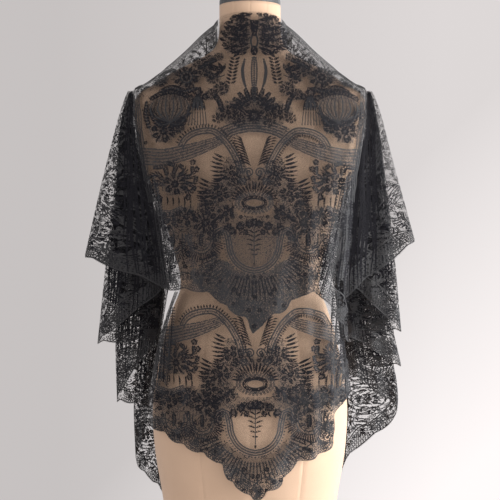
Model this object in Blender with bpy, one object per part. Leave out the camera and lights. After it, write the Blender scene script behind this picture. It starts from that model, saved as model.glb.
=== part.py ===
"""Lace shawl draped on a limbless dress form, standing on a weighted disc.

Metres, +Z up. The back of the form, where the shawl's points hang, faces -Y; its chest faces +Y.
"""

import math

import bpy
import numpy as np

# Shared sizes
CLOTH = 0.0012  # wall of each layer of lace
SEAM = 0.0003  # gap between neighbouring pieces
REST_GAP = 0.0007  # cloth to form where it rests
LAYER_STEP = 0.0048  # from one layer of the back to the next
FOLD_Z = 1.2204  # height of the shoulder ends
FOLD_X = 0.206  # half the width of the shoulder fold
NECK_X = 0.058  # where the fold leaves the neck
SCALLOP_DEPTH = 0.005
UPPER_SCALLOPS = 11
LOWER_SCALLOPS = 15
STEPS_A_SCALLOP = 4

# How the cloth turns down from its fold and leaves the form
NECK_LOOP = 0.0605  # radius of the fold round the neck
OPENING = 0.010  # half the opening of the fold at the shoulder's end
OPENING_X = 0.185  # where that opening starts
BACK_TURN = 0.035  # drop over which the back swings out from the fold
FRONT_TURN = 0.018  # the same for the fronts
FOLD_ROUNDING = 0.0003  # rounding against the form at the fold
HANG_ROUNDING = 0.006  # how much it grows further down
ROUNDING_DROP = 0.012  # drop over which it grows
SLOPE_Z = 1.232  # middle of the shoulder slope
SLOPE_SPREAD = 0.028  # half its height
BACK_SLOPE_GAP = 0.006  # extra room over the slope, behind
FRONT_SLOPE_GAP = 0.011  # the same before
UNDER_DROP = 0.014  # top of the under layer below the fold

# Stand
BASE_RADIUS = 0.19
BASE_HEIGHT = 0.018
POLE_RADIUS = 0.0127
TORSO_BOTTOM = 0.450
NECK_TOP = 1.3750
CAP_TOP = 1.3920

# Heights of the form's sections
SECTIONS = (
    *(TORSO_BOTTOM, 0.480, 0.515, 0.550, 0.600, 0.648, 0.700, 0.750, 0.800, 0.840),
    *(0.873, 0.920, 0.970, 1.026, 1.070, 1.110, 1.150, 1.180, 1.200, 1.212),
    *(1.2204, 1.229, 1.238, 1.2528, 1.2708, 1.285, 1.300, 1.320, 1.352, NECK_TOP),
)
# Sections of the cap: height, share of the neck's width
CAP_SECTIONS = ((NECK_TOP + SEAM, 1.0), (1.3835, 1.0), (1.3890, 0.975), (CAP_TOP, 0.90))

# Dress form: height, half width, depth to the back, depth to the front, roundness exponent
BODY = (
    (0.450, 0.150, 0.098, 0.090, 2.2),
    (0.504, 0.158, 0.113, 0.097, 2.2),
    (0.576, 0.170, 0.128, 0.104, 2.2),
    (0.648, 0.1745, 0.132, 0.108, 2.2),
    (0.720, 0.166, 0.120, 0.106, 2.2),
    (0.792, 0.151, 0.098, 0.096, 2.2),
    (0.833, 0.138, 0.087, 0.091, 2.2),
    (0.873, 0.1245, 0.082, 0.086, 2.2),
    (0.954, 0.142, 0.093, 0.098, 2.25),
    (1.026, 0.167, 0.108, 0.118, 2.3),
    (1.098, 0.193, 0.115, 0.128, 2.45),
    (1.152, 0.204, 0.112, 0.106, 2.55),
    (1.190, 0.2075, 0.104, 0.088, 2.6),
    (1.210, 0.2035, 0.097, 0.080, 2.6),
    (1.2204, 0.1930, 0.091, 0.075, 2.5),
    (1.232, 0.172, 0.086, 0.071, 2.4),
    (1.2528, 0.142, 0.078, 0.066, 2.3),
    (1.2708, 0.106, 0.071, 0.062, 2.2),
    (1.285, 0.079, 0.065, 0.060, 2.1),
    (1.300, 0.063, 0.060, 0.058, 2.05),
    (1.320, 0.0565, 0.0560, 0.0560, 2.0),
    (1.352, 0.0550, 0.0545, 0.0550, 2.0),
    (NECK_TOP, 0.0550, 0.0545, 0.0550, 2.0),
)

# Fold line over the neck and the shoulder: distance from the middle, height
FOLD_LINE = (
    (0.000, 1.3535),
    (0.030, 1.3520),
    (0.050, 1.3460),
    (0.058, 1.3400),
    (0.080, 1.3225),
    (0.107, 1.2960),
    (0.143, 1.2645),
    (0.180, 1.2380),
    (FOLD_X, 1.2235),
)

# How far the cloth hangs back from the middle, by height
HANG_BACK = (
    (0.480, 0.136),
    (0.580, 0.138),
    (0.650, 0.136),
    (0.750, 0.126),
    (0.850, 0.118),
    (0.950, 0.117),
    (1.098, 0.1185),
    (1.152, 0.1160),
    (1.210, 0.1040),
    (1.260, 0.0850),
    (1.300, 0.0700),
    (1.360, 0.0610),
)

# How far it hangs to the front
HANG_FRONT = (
    (0.460, 0.106),
    (0.600, 0.114),
    (0.700, 0.118),
    (0.850, 0.126),
    (1.000, 0.135),
    (1.098, 0.136),
    (1.152, 0.114),
    (1.210, 0.092),
    (1.260, 0.074),
    (1.300, 0.066),
    (1.360, 0.062),
)

# Side edge of the back: height, left half width, right half width, distance behind the middle
BACK_EDGE = (
    (0.480, 0.162, 0.165, 0.012),
    (0.600, 0.180, 0.181, 0.010),
    (0.648, 0.1820, 0.1825, 0.012),
    (0.720, 0.1740, 0.1760, 0.020),
    (0.792, 0.1600, 0.1690, 0.035),
    (0.873, 0.1480, 0.1685, 0.050),
    (0.954, 0.1600, 0.1735, 0.055),
    (1.0566, 0.1810, 0.1820, 0.062),
    (1.152, 0.1970, 0.1980, 0.058),
    (1.195, 0.2020, 0.2020, 0.044),
    (1.215, 0.2050, 0.2050, 0.026),
    (FOLD_Z, 0.2060, 0.2060, 0.012),
)

# The same for the under layer, which lies closer to the waist
UNDER_EDGE = (
    (0.480, 0.162, 0.165, 0.012),
    (0.600, 0.180, 0.181, 0.010),
    (0.648, 0.182, 0.1825, 0.012),
    (0.720, 0.173, 0.176, 0.014),
    (0.792, 0.1575, 0.166, 0.018),
    (0.833, 0.1445, 0.163, 0.020),
    (0.873, 0.1320, 0.160, 0.024),
    (0.954, 0.1500, 0.166, 0.036),
    (1.0566, 0.1765, 0.178, 0.053),
    (1.152, 0.1930, 0.194, 0.053),
    (1.195, 0.1980, 0.198, 0.041),
    (1.215, 0.2005, 0.2005, 0.024),
    (FOLD_Z, 0.2010, 0.2010, 0.011),
)

# Hems of the back, from the left side to the right: across, height
UPPER_HEM = (
    (-0.1480, 0.8700),
    (-0.1190, 0.8700),
    (-0.0760, 0.8650),
    (-0.0560, 0.8560),
    (-0.0440, 0.8440),
    (-0.0180, 0.8260),
    (-0.0010, 0.8160),
    (0.0080, 0.7945),
    (0.0250, 0.8180),
    (0.0530, 0.8320),
    (0.0710, 0.8500),
    (0.0850, 0.8600),
    (0.1080, 0.8640),
    (0.1400, 0.8300),
    (0.1700, 0.7700),
)
LOWER_HEM = (
    (-0.1790, 0.6330),
    (-0.1560, 0.6260),
    (-0.1330, 0.6140),
    (-0.1010, 0.5980),
    (-0.0750, 0.5890),
    (-0.0450, 0.5700),
    (-0.0330, 0.5450),
    (-0.0130, 0.5300),
    (0.0100, 0.5140),
    (0.0320, 0.5280),
    (0.0500, 0.5390),
    (0.0650, 0.5620),
    (0.0850, 0.5780),
    (0.1150, 0.5860),
    (0.1370, 0.6100),
    (0.1390, 0.6500),
    (0.1510, 0.6680),
    (0.1740, 0.6880),
    (0.1710, 0.7450),
)

# Path of the front edge of each front panel: height, left distance from the middle, right distance
FRONT_EDGE = (
    (0.470, 0.160, 0.170),
    (0.540, 0.166, 0.172),
    (0.650, 0.172, 0.176),
    (0.760, 0.168, 0.172),
    (0.850, 0.155, 0.160),
    (1.000, 0.128, 0.130),
    (1.130, 0.100, 0.102),
    (1.260, 0.074, 0.074),
    (1.340, 0.058, 0.058),
)

# Valleys between the flutes, beside the form: height, distance from the middle
VALLEY = (
    (0.480, 0.176),
    (0.600, 0.184),
    (0.660, 0.186),
    (0.720, 0.178),
    (0.800, 0.164),
    (0.873, 0.158),
    (0.950, 0.163),
    (1.050, 0.185),
    (1.150, 0.210),
    (1.190, 0.2125),
    (FOLD_Z, 0.2110),
)

# Depth of the four valleys on each side, behind (-) to before (+) the middle: height, one column a valley
VALLEY_DEPTH = (
    (0.640, -0.050, -0.012, 0.030, 0.072),
    (0.873, -0.050, -0.010, 0.032, 0.074),
    (1.0566, -0.062, -0.018, 0.026, 0.070),
    (1.152, -0.058, -0.018, 0.020, 0.056),
    (1.195, -0.044, -0.014, 0.014, 0.044),
    (1.215, -0.030, -0.010, 0.010, 0.030),
    (FOLD_Z, -0.022, -0.007, 0.007, 0.022),
)

# Each flute: side, number, outer edge as (height, distance) from the top down, then hem heights at the
# first valley, outer edge and second valley
FLUTES = (
    (-1, 1, ((FOLD_Z, 0.218), (1.200, 0.2245), (1.100, 0.2510), (0.928, 0.2925)),
     (0.870, 0.927, 0.868)),
    (-1, 2, ((FOLD_Z, 0.217), (1.190, 0.2270), (1.050, 0.2440), (0.914, 0.260), (0.770, 0.275)),
     (0.868, 0.770, 0.775)),
    (-1, 3, ((FOLD_Z, 0.217), (1.190, 0.2250), (1.000, 0.2400), (0.761, 0.247), (0.660, 0.244)),
     (0.775, 0.660, 0.652)),
    (1, 1, ((FOLD_Z, 0.218), (1.200, 0.2250), (1.100, 0.2510), (0.955, 0.2915)),
     (0.850, 0.955, 0.900)),
    (1, 2, ((FOLD_Z, 0.217), (1.190, 0.2250), (1.050, 0.2460), (0.934, 0.260), (0.790, 0.273)),
     (0.900, 0.792, 0.790)),
    (1, 3, ((FOLD_Z, 0.217), (1.190, 0.2250), (1.000, 0.2460), (0.790, 0.263), (0.726, 0.277)),
     (0.790, 0.726, 0.720)),
)

# Each front end: side, outer edge of its flute as (height, distance), then hem heights at the valley,
# outer edge and tip
FRONT_ENDS = (
    (-1, ((FOLD_Z, 0.2160), (1.100, 0.212), (0.800, 0.205), (0.648, 0.216), (0.540, 0.212)),
     (0.652, 0.562, 0.4766)),
    (1, ((FOLD_Z, 0.2160), (1.100, 0.220), (0.800, 0.250), (0.660, 0.275), (0.560, 0.255)),
     (0.720, 0.655, 0.5190)),
)


def smooth(table, at, column=1):
    """Value of a table's column at a place in its first column, with a smooth curve through the rows."""
    rows = sorted(table, key=lambda row: row[0])
    xs = np.array([row[0] for row in rows])
    ys = np.array([row[column] for row in rows])
    slopes = np.gradient(ys, xs)
    steps = np.diff(ys) / np.diff(xs)
    limit = 3 * np.minimum(np.abs(steps[:-1]), np.abs(steps[1:]))
    flat = steps[:-1] * steps[1:] <= 0
    slopes[1:-1] = np.where(flat, 0, np.clip(slopes[1:-1], -limit, limit))
    at = np.clip(np.asarray(at, float), xs[0], xs[-1])
    i = np.clip(np.searchsorted(xs, at, side="right") - 1, 0, len(xs) - 2)
    width = xs[i + 1] - xs[i]
    t = (at - xs[i]) / width
    start = (1 + 2 * t) * (1 - t) ** 2 * ys[i] + t * (1 - t) ** 2 * width * slopes[i]
    end = t**2 * (3 - 2 * t) * ys[i + 1] + t**2 * (t - 1) * width * slopes[i + 1]
    return start + end


def ease(t):
    t = np.clip(t, 0, 1)
    return t * t * (3 - 2 * t)


def material(name, color, roughness, sheen=0.0):
    made = bpy.data.materials.new(name)
    made.use_nodes = True
    shader = made.node_tree.nodes["Principled BSDF"]
    shader.inputs["Base Color"].default_value = (*color, 1)
    shader.inputs["Roughness"].default_value = roughness
    shader.inputs["Sheen Weight"].default_value = sheen
    made.diffuse_color = (*color, 1)
    return made


def add_mesh(name, points, faces, made):
    mesh = bpy.data.meshes.new(name)
    mesh.from_pydata([tuple(p) for p in points], [], faces)
    mesh.materials.append(made)
    for face in mesh.polygons:
        face.use_smooth = True
    mesh.update()
    obj = bpy.data.objects.new(name, mesh)
    bpy.context.scene.collection.objects.link(obj)
    return obj


def stacked(name, rings, made):
    """A closed solid through rings of equal length, capped at both ends."""
    count = len(rings[0])
    points = [p for ring in rings for p in ring]
    faces = [tuple(reversed(range(count)))]
    for row in range(len(rings) - 1):
        for i in range(count):
            j = (i + 1) % count
            low = row * count
            faces.append((low + i, low + j, low + count + j, low + count + i))
    faces.append(tuple(range(len(points) - count, len(points))))
    return add_mesh(name, points, faces, made)


def wall(name, grid, outward, made, inner=0.0):
    """A closed wall of cloth on a grid of points, thickened along the normals to the side of outward."""
    rows, cols = grid.shape[:2]
    along = np.gradient(grid, axis=1)
    down = np.gradient(grid, axis=0)
    normal = np.cross(along, down)
    normal /= np.linalg.norm(normal, axis=2, keepdims=True)
    if (normal * outward).sum() < 0:
        normal = -normal
        turned = True
    else:
        turned = False
    inside = grid + normal * inner
    outside = grid + normal * (inner + CLOTH)
    points = np.concatenate([inside.reshape(-1, 3), outside.reshape(-1, 3)])
    shift = rows * cols
    faces = []
    for r in range(rows - 1):
        for c in range(cols - 1):
            a, b = r * cols + c, r * cols + c + 1
            d, e = a + cols, b + cols
            faces.append((a, b, e, d))
            faces.append((shift + a, shift + d, shift + e, shift + b))
    rim = list(range(cols))
    rim += [r * cols + cols - 1 for r in range(1, rows)]
    rim += [(rows - 1) * cols + c for c in range(cols - 2, -1, -1)]
    rim += [r * cols for r in range(rows - 2, 0, -1)]
    for i, a in enumerate(rim):
        b = rim[(i + 1) % len(rim)]
        faces.append((b, a, shift + a, shift + b))
    if not turned:
        faces = [tuple(reversed(face)) for face in faces]
    return add_mesh(name, points, faces, made)


def body_ring(z, count):
    half, back, front, power = (float(smooth(BODY, z, c)) for c in (1, 2, 3, 4))
    ring = []
    for i in range(count):
        turn = 2 * math.pi * i / count
        c, s = math.cos(turn), math.sin(turn)
        x = half * math.copysign(abs(c) ** (2 / power), c)
        depth = front if s > 0 else back
        ring.append((x, depth * math.copysign(abs(s) ** (2 / power), s), z))
    return ring


def body_depth(x, z, column):
    """Depth of the form's back (column 2) or front (3) at a place across and a height."""
    half, power = smooth(BODY, z, 1), smooth(BODY, z, 4)
    left = np.clip(1 - np.abs(x / half) ** power, 0, 1)
    return smooth(BODY, z, column) * left ** (1 / power)


def rest_gap(z, sloped):
    """Room between the form and the cloth, wider by sloped over the shoulders."""
    return REST_GAP + sloped * np.exp(-(((z - SLOPE_Z) / SLOPE_SPREAD) ** 2))


def over_body(hang, body, room):
    """The larger of both depths, rounded where the cloth leaves the form."""
    return (hang + body + np.sqrt((hang - body) ** 2 + room**2)) / 2


def rounding(drop):
    """How softly the cloth leaves the form at a drop below the fold."""
    return FOLD_ROUNDING + HANG_ROUNDING * (1 - np.exp(-drop / ROUNDING_DROP))


def fold_top(x):
    return smooth(FOLD_LINE, np.abs(x))


def fold_depth(x):
    """How far the fold line lies from the middle plane, round the neck and at the shoulder's end."""
    neck = np.sqrt(np.clip(NECK_LOOP**2 - x**2, 0, None))
    end = OPENING * ease((np.abs(x) - OPENING_X) / (FOLD_X - OPENING_X))
    return np.maximum(neck, end) + CLOTH / 2 + SEAM


def side_width(edges, x, z):
    return np.where(x < 0, smooth(edges, z, 1), smooth(edges, z, 2))


def back_point(edges, x, z):
    """Place of the inner face of a back panel with these side edges, at a place across and a height."""
    wide = side_width(edges, x, z)
    edge = smooth(edges, z, 3)
    across = np.clip(1 - np.abs(x / wide) ** 2.4, 0, 1) ** (1 / 2.2)
    plan = edge + (smooth(HANG_BACK, z) - edge) * across
    drop = np.clip(fold_top(x) - z, 0, None)
    top = fold_depth(x)
    hang = top + (plan - top) * (1 - np.exp(-drop / BACK_TURN))
    body = body_depth(x, z, 2) + rest_gap(z, BACK_SLOPE_GAP)
    return np.stack([x, -over_body(hang, body, rounding(drop)), z], axis=-1)


def folds(u, z, rows):
    """Depth of the soft upright folds at a share of the half width and a height."""
    total = np.zeros_like(u)
    for place, width, depth, top, full in rows:
        total += depth * np.exp(-(((u - place) / width) ** 2)) * ease((top - z) / (top - full))
    return total


# Upright folds of the back: place and width as shares of the half width, depth, then the heights where each
# one starts and is full
BACK_FOLDS = (
    (-0.90, 0.055, 0.006, 1.20, 0.95),
    (-0.70, 0.080, 0.004, 1.10, 0.80),
    (-0.30, 0.100, 0.004, 0.95, 0.60),
    (0.22, 0.090, 0.004, 0.95, 0.60),
    (0.58, 0.060, 0.007, 1.18, 0.90),
    (0.74, 0.055, 0.009, 1.20, 0.90),
    (0.90, 0.055, 0.008, 1.20, 0.92),
)


def hem_curve(rows, many):
    """Points at even steps along a hem, with many scallops hanging from it."""
    rough = np.array(rows)
    length = np.concatenate([[0], np.cumsum(np.linalg.norm(np.diff(rough, axis=0), axis=1))])
    at = np.linspace(0, length[-1], many * STEPS_A_SCALLOP + 1)
    table = [(length[i], rough[i][0], rough[i][1]) for i in range(len(rows))]
    x, z = smooth(table, at, 1), smooth(table, at, 2)
    tangent = np.stack([np.gradient(x), np.gradient(z)], axis=1)
    tangent /= np.linalg.norm(tangent, axis=1, keepdims=True)
    bulge = SCALLOP_DEPTH * np.abs(np.sin(np.pi * many * at / length[-1])) ** 0.8
    bulge[[0, -1]] = 0
    x = x + tangent[:, 1] * bulge
    z = z - np.abs(tangent[:, 0]) * bulge
    return x, z


def back_grid(edges, hem_rows, many, rows, layer, top_gap):
    """Grid of one layer of the back, from the fold line down to its hem."""
    hem_x, hem_z = hem_curve(hem_rows, many)
    u = np.linspace(-1, 1, len(hem_x))
    top_x = u * smooth(edges, FOLD_Z)
    top_z = fold_top(top_x) - top_gap
    hem_wide = side_width(edges, u, hem_z)
    hem_share = np.clip(hem_x / hem_wide, -1, 1)
    hem_share[0], hem_share[-1] = -1, 1
    v = np.linspace(0, 1, rows)[:, None] ** 1.5
    z = top_z + (hem_z - top_z) * v
    share = u + (hem_share - u) * v
    x = share * (side_width(edges, share, z) - SEAM)
    point = back_point(edges, x, z)
    step = 0.0005
    across = back_point(edges, x + step, z) - back_point(edges, x - step, z)
    down = back_point(edges, x, z - step) - back_point(edges, x, z + step)
    normal = np.cross(across, down)
    normal /= np.linalg.norm(normal, axis=2, keepdims=True)
    normal = np.where(normal[..., 1:2] > 0, -normal, normal)
    edge = 1 - np.abs(share) ** 12
    depth = folds(share, z, BACK_FOLDS) * edge
    return point + normal * (depth[..., None] + layer * LAYER_STEP)


def flute_grid(side, number, outer, hems, cols, rows):
    """Grid of one flute, out from a valley beside the form and back to the next valley."""
    t = np.linspace(0, 1, cols)
    hem = np.where(
        t < 0.5,
        hems[0] + (hems[1] - hems[0]) * ease(t * 2),
        hems[1] + (hems[2] - hems[1]) * ease(t * 2 - 1),
    )
    hem = hem - SCALLOP_DEPTH * np.abs(np.sin(np.pi * 5 * t))
    v = np.linspace(0, 1, rows)[:, None]
    z = FOLD_Z + (hem - FOLD_Z) * v
    inner = smooth(VALLEY, z)
    first = inner
    if number == 1:
        first = side_width(BACK_EDGE, side, z) + CLOTH + 0.0065 * ease((z - 1.12) / 0.06)
        inner = first + (inner - first) * ease(t * 2 - 1)
    out = smooth(outer, z)
    reach = np.sin(np.pi * t) ** 2
    x = inner + (out - inner) * reach
    y0 = smooth(VALLEY_DEPTH, z, number)
    y1 = smooth(VALLEY_DEPTH, z, number + 1)
    gap = SEAM / 2 + CLOTH / 2
    y = y0 + gap + (y1 - y0 - 2 * gap) * (t + 0.8 * np.sin(4 * np.pi * t) / (4 * np.pi))
    return np.stack([side * x, y, z], axis=-1)


def front_point(x, z):
    top = fold_depth(x)
    plan = smooth(HANG_FRONT, z) * np.clip(1 - np.abs(x / 0.222) ** 2.6, 0.02, 1) ** (1 / 2.6)
    drop = np.clip(fold_top(x) - z, 0, None)
    hang = top + (plan - top) * (1 - np.exp(-drop / FRONT_TURN))
    body = body_depth(x, z, 3) + rest_gap(z, FRONT_SLOPE_GAP) + CLOTH / 2
    return over_body(hang, body, rounding(drop))


def front_grid(side, outer, hems, cols, rows):
    """Grid of one front: out from the last valley and in again, then over the chest to the front edge."""
    t = np.linspace(0, 1, cols)
    first = hems[0] + (hems[1] - hems[0]) * ease(t / 0.4)
    second = hems[1] + (hems[2] - hems[1]) * np.clip((t - 0.4) / 0.6, 0, 1)
    hem = np.where(t < 0.4, first, second)
    hem = hem - SCALLOP_DEPTH * np.abs(np.sin(np.pi * 6 * t)) * (t < 0.99)
    top_x = FOLD_X - SEAM + (NECK_X - FOLD_X) * t
    top_z = fold_top(top_x)
    v = np.linspace(0, 1, rows)[:, None] ** 1.7
    z = top_z + (hem - top_z) * v
    valley = smooth(VALLEY, z)
    edge = smooth(FRONT_EDGE, z, 1 if side < 0 else 2)
    flat = valley + (edge - valley) * t
    bump = np.sin(np.pi * np.clip(t / 0.95, 0, 1)) ** 2
    out = smooth(outer, z)
    x = flat + np.clip(out - flat, 0, None) * bump * ease((1.15 - z) / 0.35)
    x = top_x + (x - top_x) * ease((top_z - z) / 0.16)
    start = smooth(VALLEY_DEPTH, z, 4) + SEAM + CLOTH / 2
    ahead = front_point(np.minimum(x, 0.215), z)
    y = start + np.clip(ahead - start, 0.004, None) * ease((t - 0.05) / 0.4)
    top_y = fold_depth(top_x) + CLOTH / 2
    y = top_y + (y - top_y) * ease((top_z - z) / 0.022)
    clear = body_depth(x, z, 3) + rest_gap(z, FRONT_SLOPE_GAP) + CLOTH / 2
    y = np.where((t > 0.1) | (z > 1.17), over_body(y, clear, 0.001), y)
    return np.stack([side * x, y, z], axis=-1)


def build():
    for obj in list(bpy.data.objects):
        bpy.data.objects.remove(obj)
    linen = material("linen", (0.50, 0.37, 0.27), 0.85, 0.2)
    slate = material("slate", (0.045, 0.05, 0.055), 0.45)
    metal = material("painted_metal", (0.06, 0.06, 0.062), 0.4)
    lace = material("black_lace", (0.018, 0.016, 0.018), 0.7)

    stacked("form_torso", [body_ring(z, 36) for z in SECTIONS], linen)

    cap = []
    for z, scale in CAP_SECTIONS:
        cap.append([(x * scale, y * scale, z) for x, y, _ in body_ring(NECK_TOP, 32)])
    stacked("neck_cap", cap, slate)

    def disc(radius, z, count):
        turns = [2 * math.pi * i / count for i in range(count)]
        return [(radius * math.cos(a), radius * math.sin(a), z) for a in turns]

    pole = [disc(POLE_RADIUS, z, 24) for z in (BASE_HEIGHT + SEAM, TORSO_BOTTOM - SEAM)]
    stacked("stand_pole", pole, metal)
    profile = ((0.003, 0.0), (0.0, 0.003), (0.0, 0.010), (0.004, 0.015), (0.014, BASE_HEIGHT))
    base = [disc(BASE_RADIUS - inset, z, 48) for inset, z in profile]
    stacked("stand_base", base, metal)

    back = np.array((0, -1, 0))
    upper = back_grid(BACK_EDGE, UPPER_HEM, UPPER_SCALLOPS, 19, 1, 0.0)
    wall("upper_back", upper, back, lace)
    lower = back_grid(UNDER_EDGE, LOWER_HEM, LOWER_SCALLOPS, 20, 0, UNDER_DROP)
    wall("lower_back", lower, back, lace)
    names = {-1: "left", 1: "right"}
    for side, number, outer, hems in FLUTES:
        grid = flute_grid(side, number, outer, hems, 13, 13)
        wall(f"{names[side]}_fall_{number}", grid, np.array((side, 0, 0)), lace, -CLOTH / 2)
    for side, outer, hems in FRONT_ENDS:
        grid = front_grid(side, outer, hems, 19, 17)
        wall(f"{names[side]}_front", grid, np.array((side * 0.2, 1, 0)), lace, -CLOTH / 2)


build()
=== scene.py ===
"""Black lace shawl, folded in two and draped on a dress form, with its stand and a plain studio.

Metres, +Z up. The back of the form faces -Y, which is the side the camera looks at.
"""

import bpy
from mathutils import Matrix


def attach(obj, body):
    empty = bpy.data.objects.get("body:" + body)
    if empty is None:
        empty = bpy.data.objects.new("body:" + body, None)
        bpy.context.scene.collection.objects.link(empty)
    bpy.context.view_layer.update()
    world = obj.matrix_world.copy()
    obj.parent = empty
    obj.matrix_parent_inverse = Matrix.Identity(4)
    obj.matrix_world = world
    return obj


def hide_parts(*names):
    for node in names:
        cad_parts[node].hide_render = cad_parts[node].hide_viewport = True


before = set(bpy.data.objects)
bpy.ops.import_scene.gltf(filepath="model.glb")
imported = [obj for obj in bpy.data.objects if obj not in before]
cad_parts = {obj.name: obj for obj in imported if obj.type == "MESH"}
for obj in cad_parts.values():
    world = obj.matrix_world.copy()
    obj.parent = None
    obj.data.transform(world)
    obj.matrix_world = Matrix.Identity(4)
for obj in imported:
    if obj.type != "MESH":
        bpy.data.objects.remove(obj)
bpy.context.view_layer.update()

import math

import bpy
import numpy as np

bl_info = {
    "name": "Lace shawl on a dress form",
    "version": (1, 0, 0),
    "blender": (4, 5, 0),
    "location": "3D View > Sidebar > Shawl",
    "description": "Dresses the form with a black lace shawl and sets up the studio",
    "category": "Object",
}

# Shared sizes
CLOTH = 0.0012  # wall of each layer of lace
SEAM = 0.0003  # gap between neighbouring pieces
REST_GAP = 0.0007  # cloth to form where it rests
LAYER_STEP = 0.0048  # from one layer of the back to the next
FOLD_Z = 1.2204  # height of the shoulder ends
FOLD_X = 0.206  # half the width of the shoulder fold
NECK_X = 0.058  # where the fold leaves the neck
SCALLOP_DEPTH = 0.005
UPPER_SCALLOPS = 11
LOWER_SCALLOPS = 15
STEPS_A_SCALLOP = 4

# How the cloth turns down from its fold and leaves the form
NECK_LOOP = 0.0605  # radius of the fold round the neck
OPENING = 0.010  # half the opening of the fold at the shoulder's end
OPENING_X = 0.185  # where that opening starts
BACK_TURN = 0.035  # drop over which the back swings out from the fold
FRONT_TURN = 0.018  # the same for the fronts
FOLD_ROUNDING = 0.0003  # rounding against the form at the fold
HANG_ROUNDING = 0.006  # how much it grows further down
ROUNDING_DROP = 0.012  # drop over which it grows
SLOPE_Z = 1.232  # middle of the shoulder slope
SLOPE_SPREAD = 0.028  # half its height
BACK_SLOPE_GAP = 0.006  # extra room over the slope, behind
FRONT_SLOPE_GAP = 0.011  # the same before
UNDER_DROP = 0.014  # top of the under layer below the fold

# Form
TORSO_BOTTOM = 0.450
NECK_TOP = 1.3750

# Dress form: height, half width, depth to the back, depth to the front, roundness exponent
BODY = (
    (0.450, 0.150, 0.098, 0.090, 2.2),
    (0.504, 0.158, 0.113, 0.097, 2.2),
    (0.576, 0.170, 0.128, 0.104, 2.2),
    (0.648, 0.1745, 0.132, 0.108, 2.2),
    (0.720, 0.166, 0.120, 0.106, 2.2),
    (0.792, 0.151, 0.098, 0.096, 2.2),
    (0.833, 0.138, 0.087, 0.091, 2.2),
    (0.873, 0.1245, 0.082, 0.086, 2.2),
    (0.954, 0.142, 0.093, 0.098, 2.25),
    (1.026, 0.167, 0.108, 0.118, 2.3),
    (1.098, 0.193, 0.115, 0.128, 2.45),
    (1.152, 0.204, 0.112, 0.106, 2.55),
    (1.190, 0.2075, 0.104, 0.088, 2.6),
    (1.210, 0.2035, 0.097, 0.080, 2.6),
    (1.2204, 0.1930, 0.091, 0.075, 2.5),
    (1.232, 0.172, 0.086, 0.071, 2.4),
    (1.2528, 0.142, 0.078, 0.066, 2.3),
    (1.2708, 0.106, 0.071, 0.062, 2.2),
    (1.285, 0.079, 0.065, 0.060, 2.1),
    (1.300, 0.063, 0.060, 0.058, 2.05),
    (1.320, 0.0565, 0.0560, 0.0560, 2.0),
    (1.352, 0.0550, 0.0545, 0.0550, 2.0),
    (NECK_TOP, 0.0550, 0.0545, 0.0550, 2.0),
)

# Fold line over the neck and the shoulder: distance from the middle, height
FOLD_LINE = (
    (0.000, 1.3535),
    (0.030, 1.3520),
    (0.050, 1.3460),
    (0.058, 1.3400),
    (0.080, 1.3225),
    (0.107, 1.2960),
    (0.143, 1.2645),
    (0.180, 1.2380),
    (FOLD_X, 1.2235),
)

# How far the cloth hangs back from the middle, by height
HANG_BACK = (
    (0.480, 0.136),
    (0.580, 0.138),
    (0.650, 0.136),
    (0.750, 0.126),
    (0.850, 0.118),
    (0.950, 0.117),
    (1.098, 0.1185),
    (1.152, 0.1160),
    (1.210, 0.1040),
    (1.260, 0.0850),
    (1.300, 0.0700),
    (1.360, 0.0610),
)

# How far it hangs to the front
HANG_FRONT = (
    (0.460, 0.106),
    (0.600, 0.114),
    (0.700, 0.118),
    (0.850, 0.126),
    (1.000, 0.135),
    (1.098, 0.136),
    (1.152, 0.114),
    (1.210, 0.092),
    (1.260, 0.074),
    (1.300, 0.066),
    (1.360, 0.062),
)

# Side edge of the back: height, left half width, right half width, distance behind the middle
BACK_EDGE = (
    (0.480, 0.162, 0.165, 0.012),
    (0.600, 0.180, 0.181, 0.010),
    (0.648, 0.1820, 0.1825, 0.012),
    (0.720, 0.1740, 0.1760, 0.020),
    (0.792, 0.1600, 0.1690, 0.035),
    (0.873, 0.1480, 0.1685, 0.050),
    (0.954, 0.1600, 0.1735, 0.055),
    (1.0566, 0.1810, 0.1820, 0.062),
    (1.152, 0.1970, 0.1980, 0.058),
    (1.195, 0.2020, 0.2020, 0.044),
    (1.215, 0.2050, 0.2050, 0.026),
    (FOLD_Z, 0.2060, 0.2060, 0.012),
)

# The same for the under layer, which lies closer to the waist
UNDER_EDGE = (
    (0.480, 0.162, 0.165, 0.012),
    (0.600, 0.180, 0.181, 0.010),
    (0.648, 0.182, 0.1825, 0.012),
    (0.720, 0.173, 0.176, 0.014),
    (0.792, 0.1575, 0.166, 0.018),
    (0.833, 0.1445, 0.163, 0.020),
    (0.873, 0.1320, 0.160, 0.024),
    (0.954, 0.1500, 0.166, 0.036),
    (1.0566, 0.1765, 0.178, 0.053),
    (1.152, 0.1930, 0.194, 0.053),
    (1.195, 0.1980, 0.198, 0.041),
    (1.215, 0.2005, 0.2005, 0.024),
    (FOLD_Z, 0.2010, 0.2010, 0.011),
)

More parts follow.
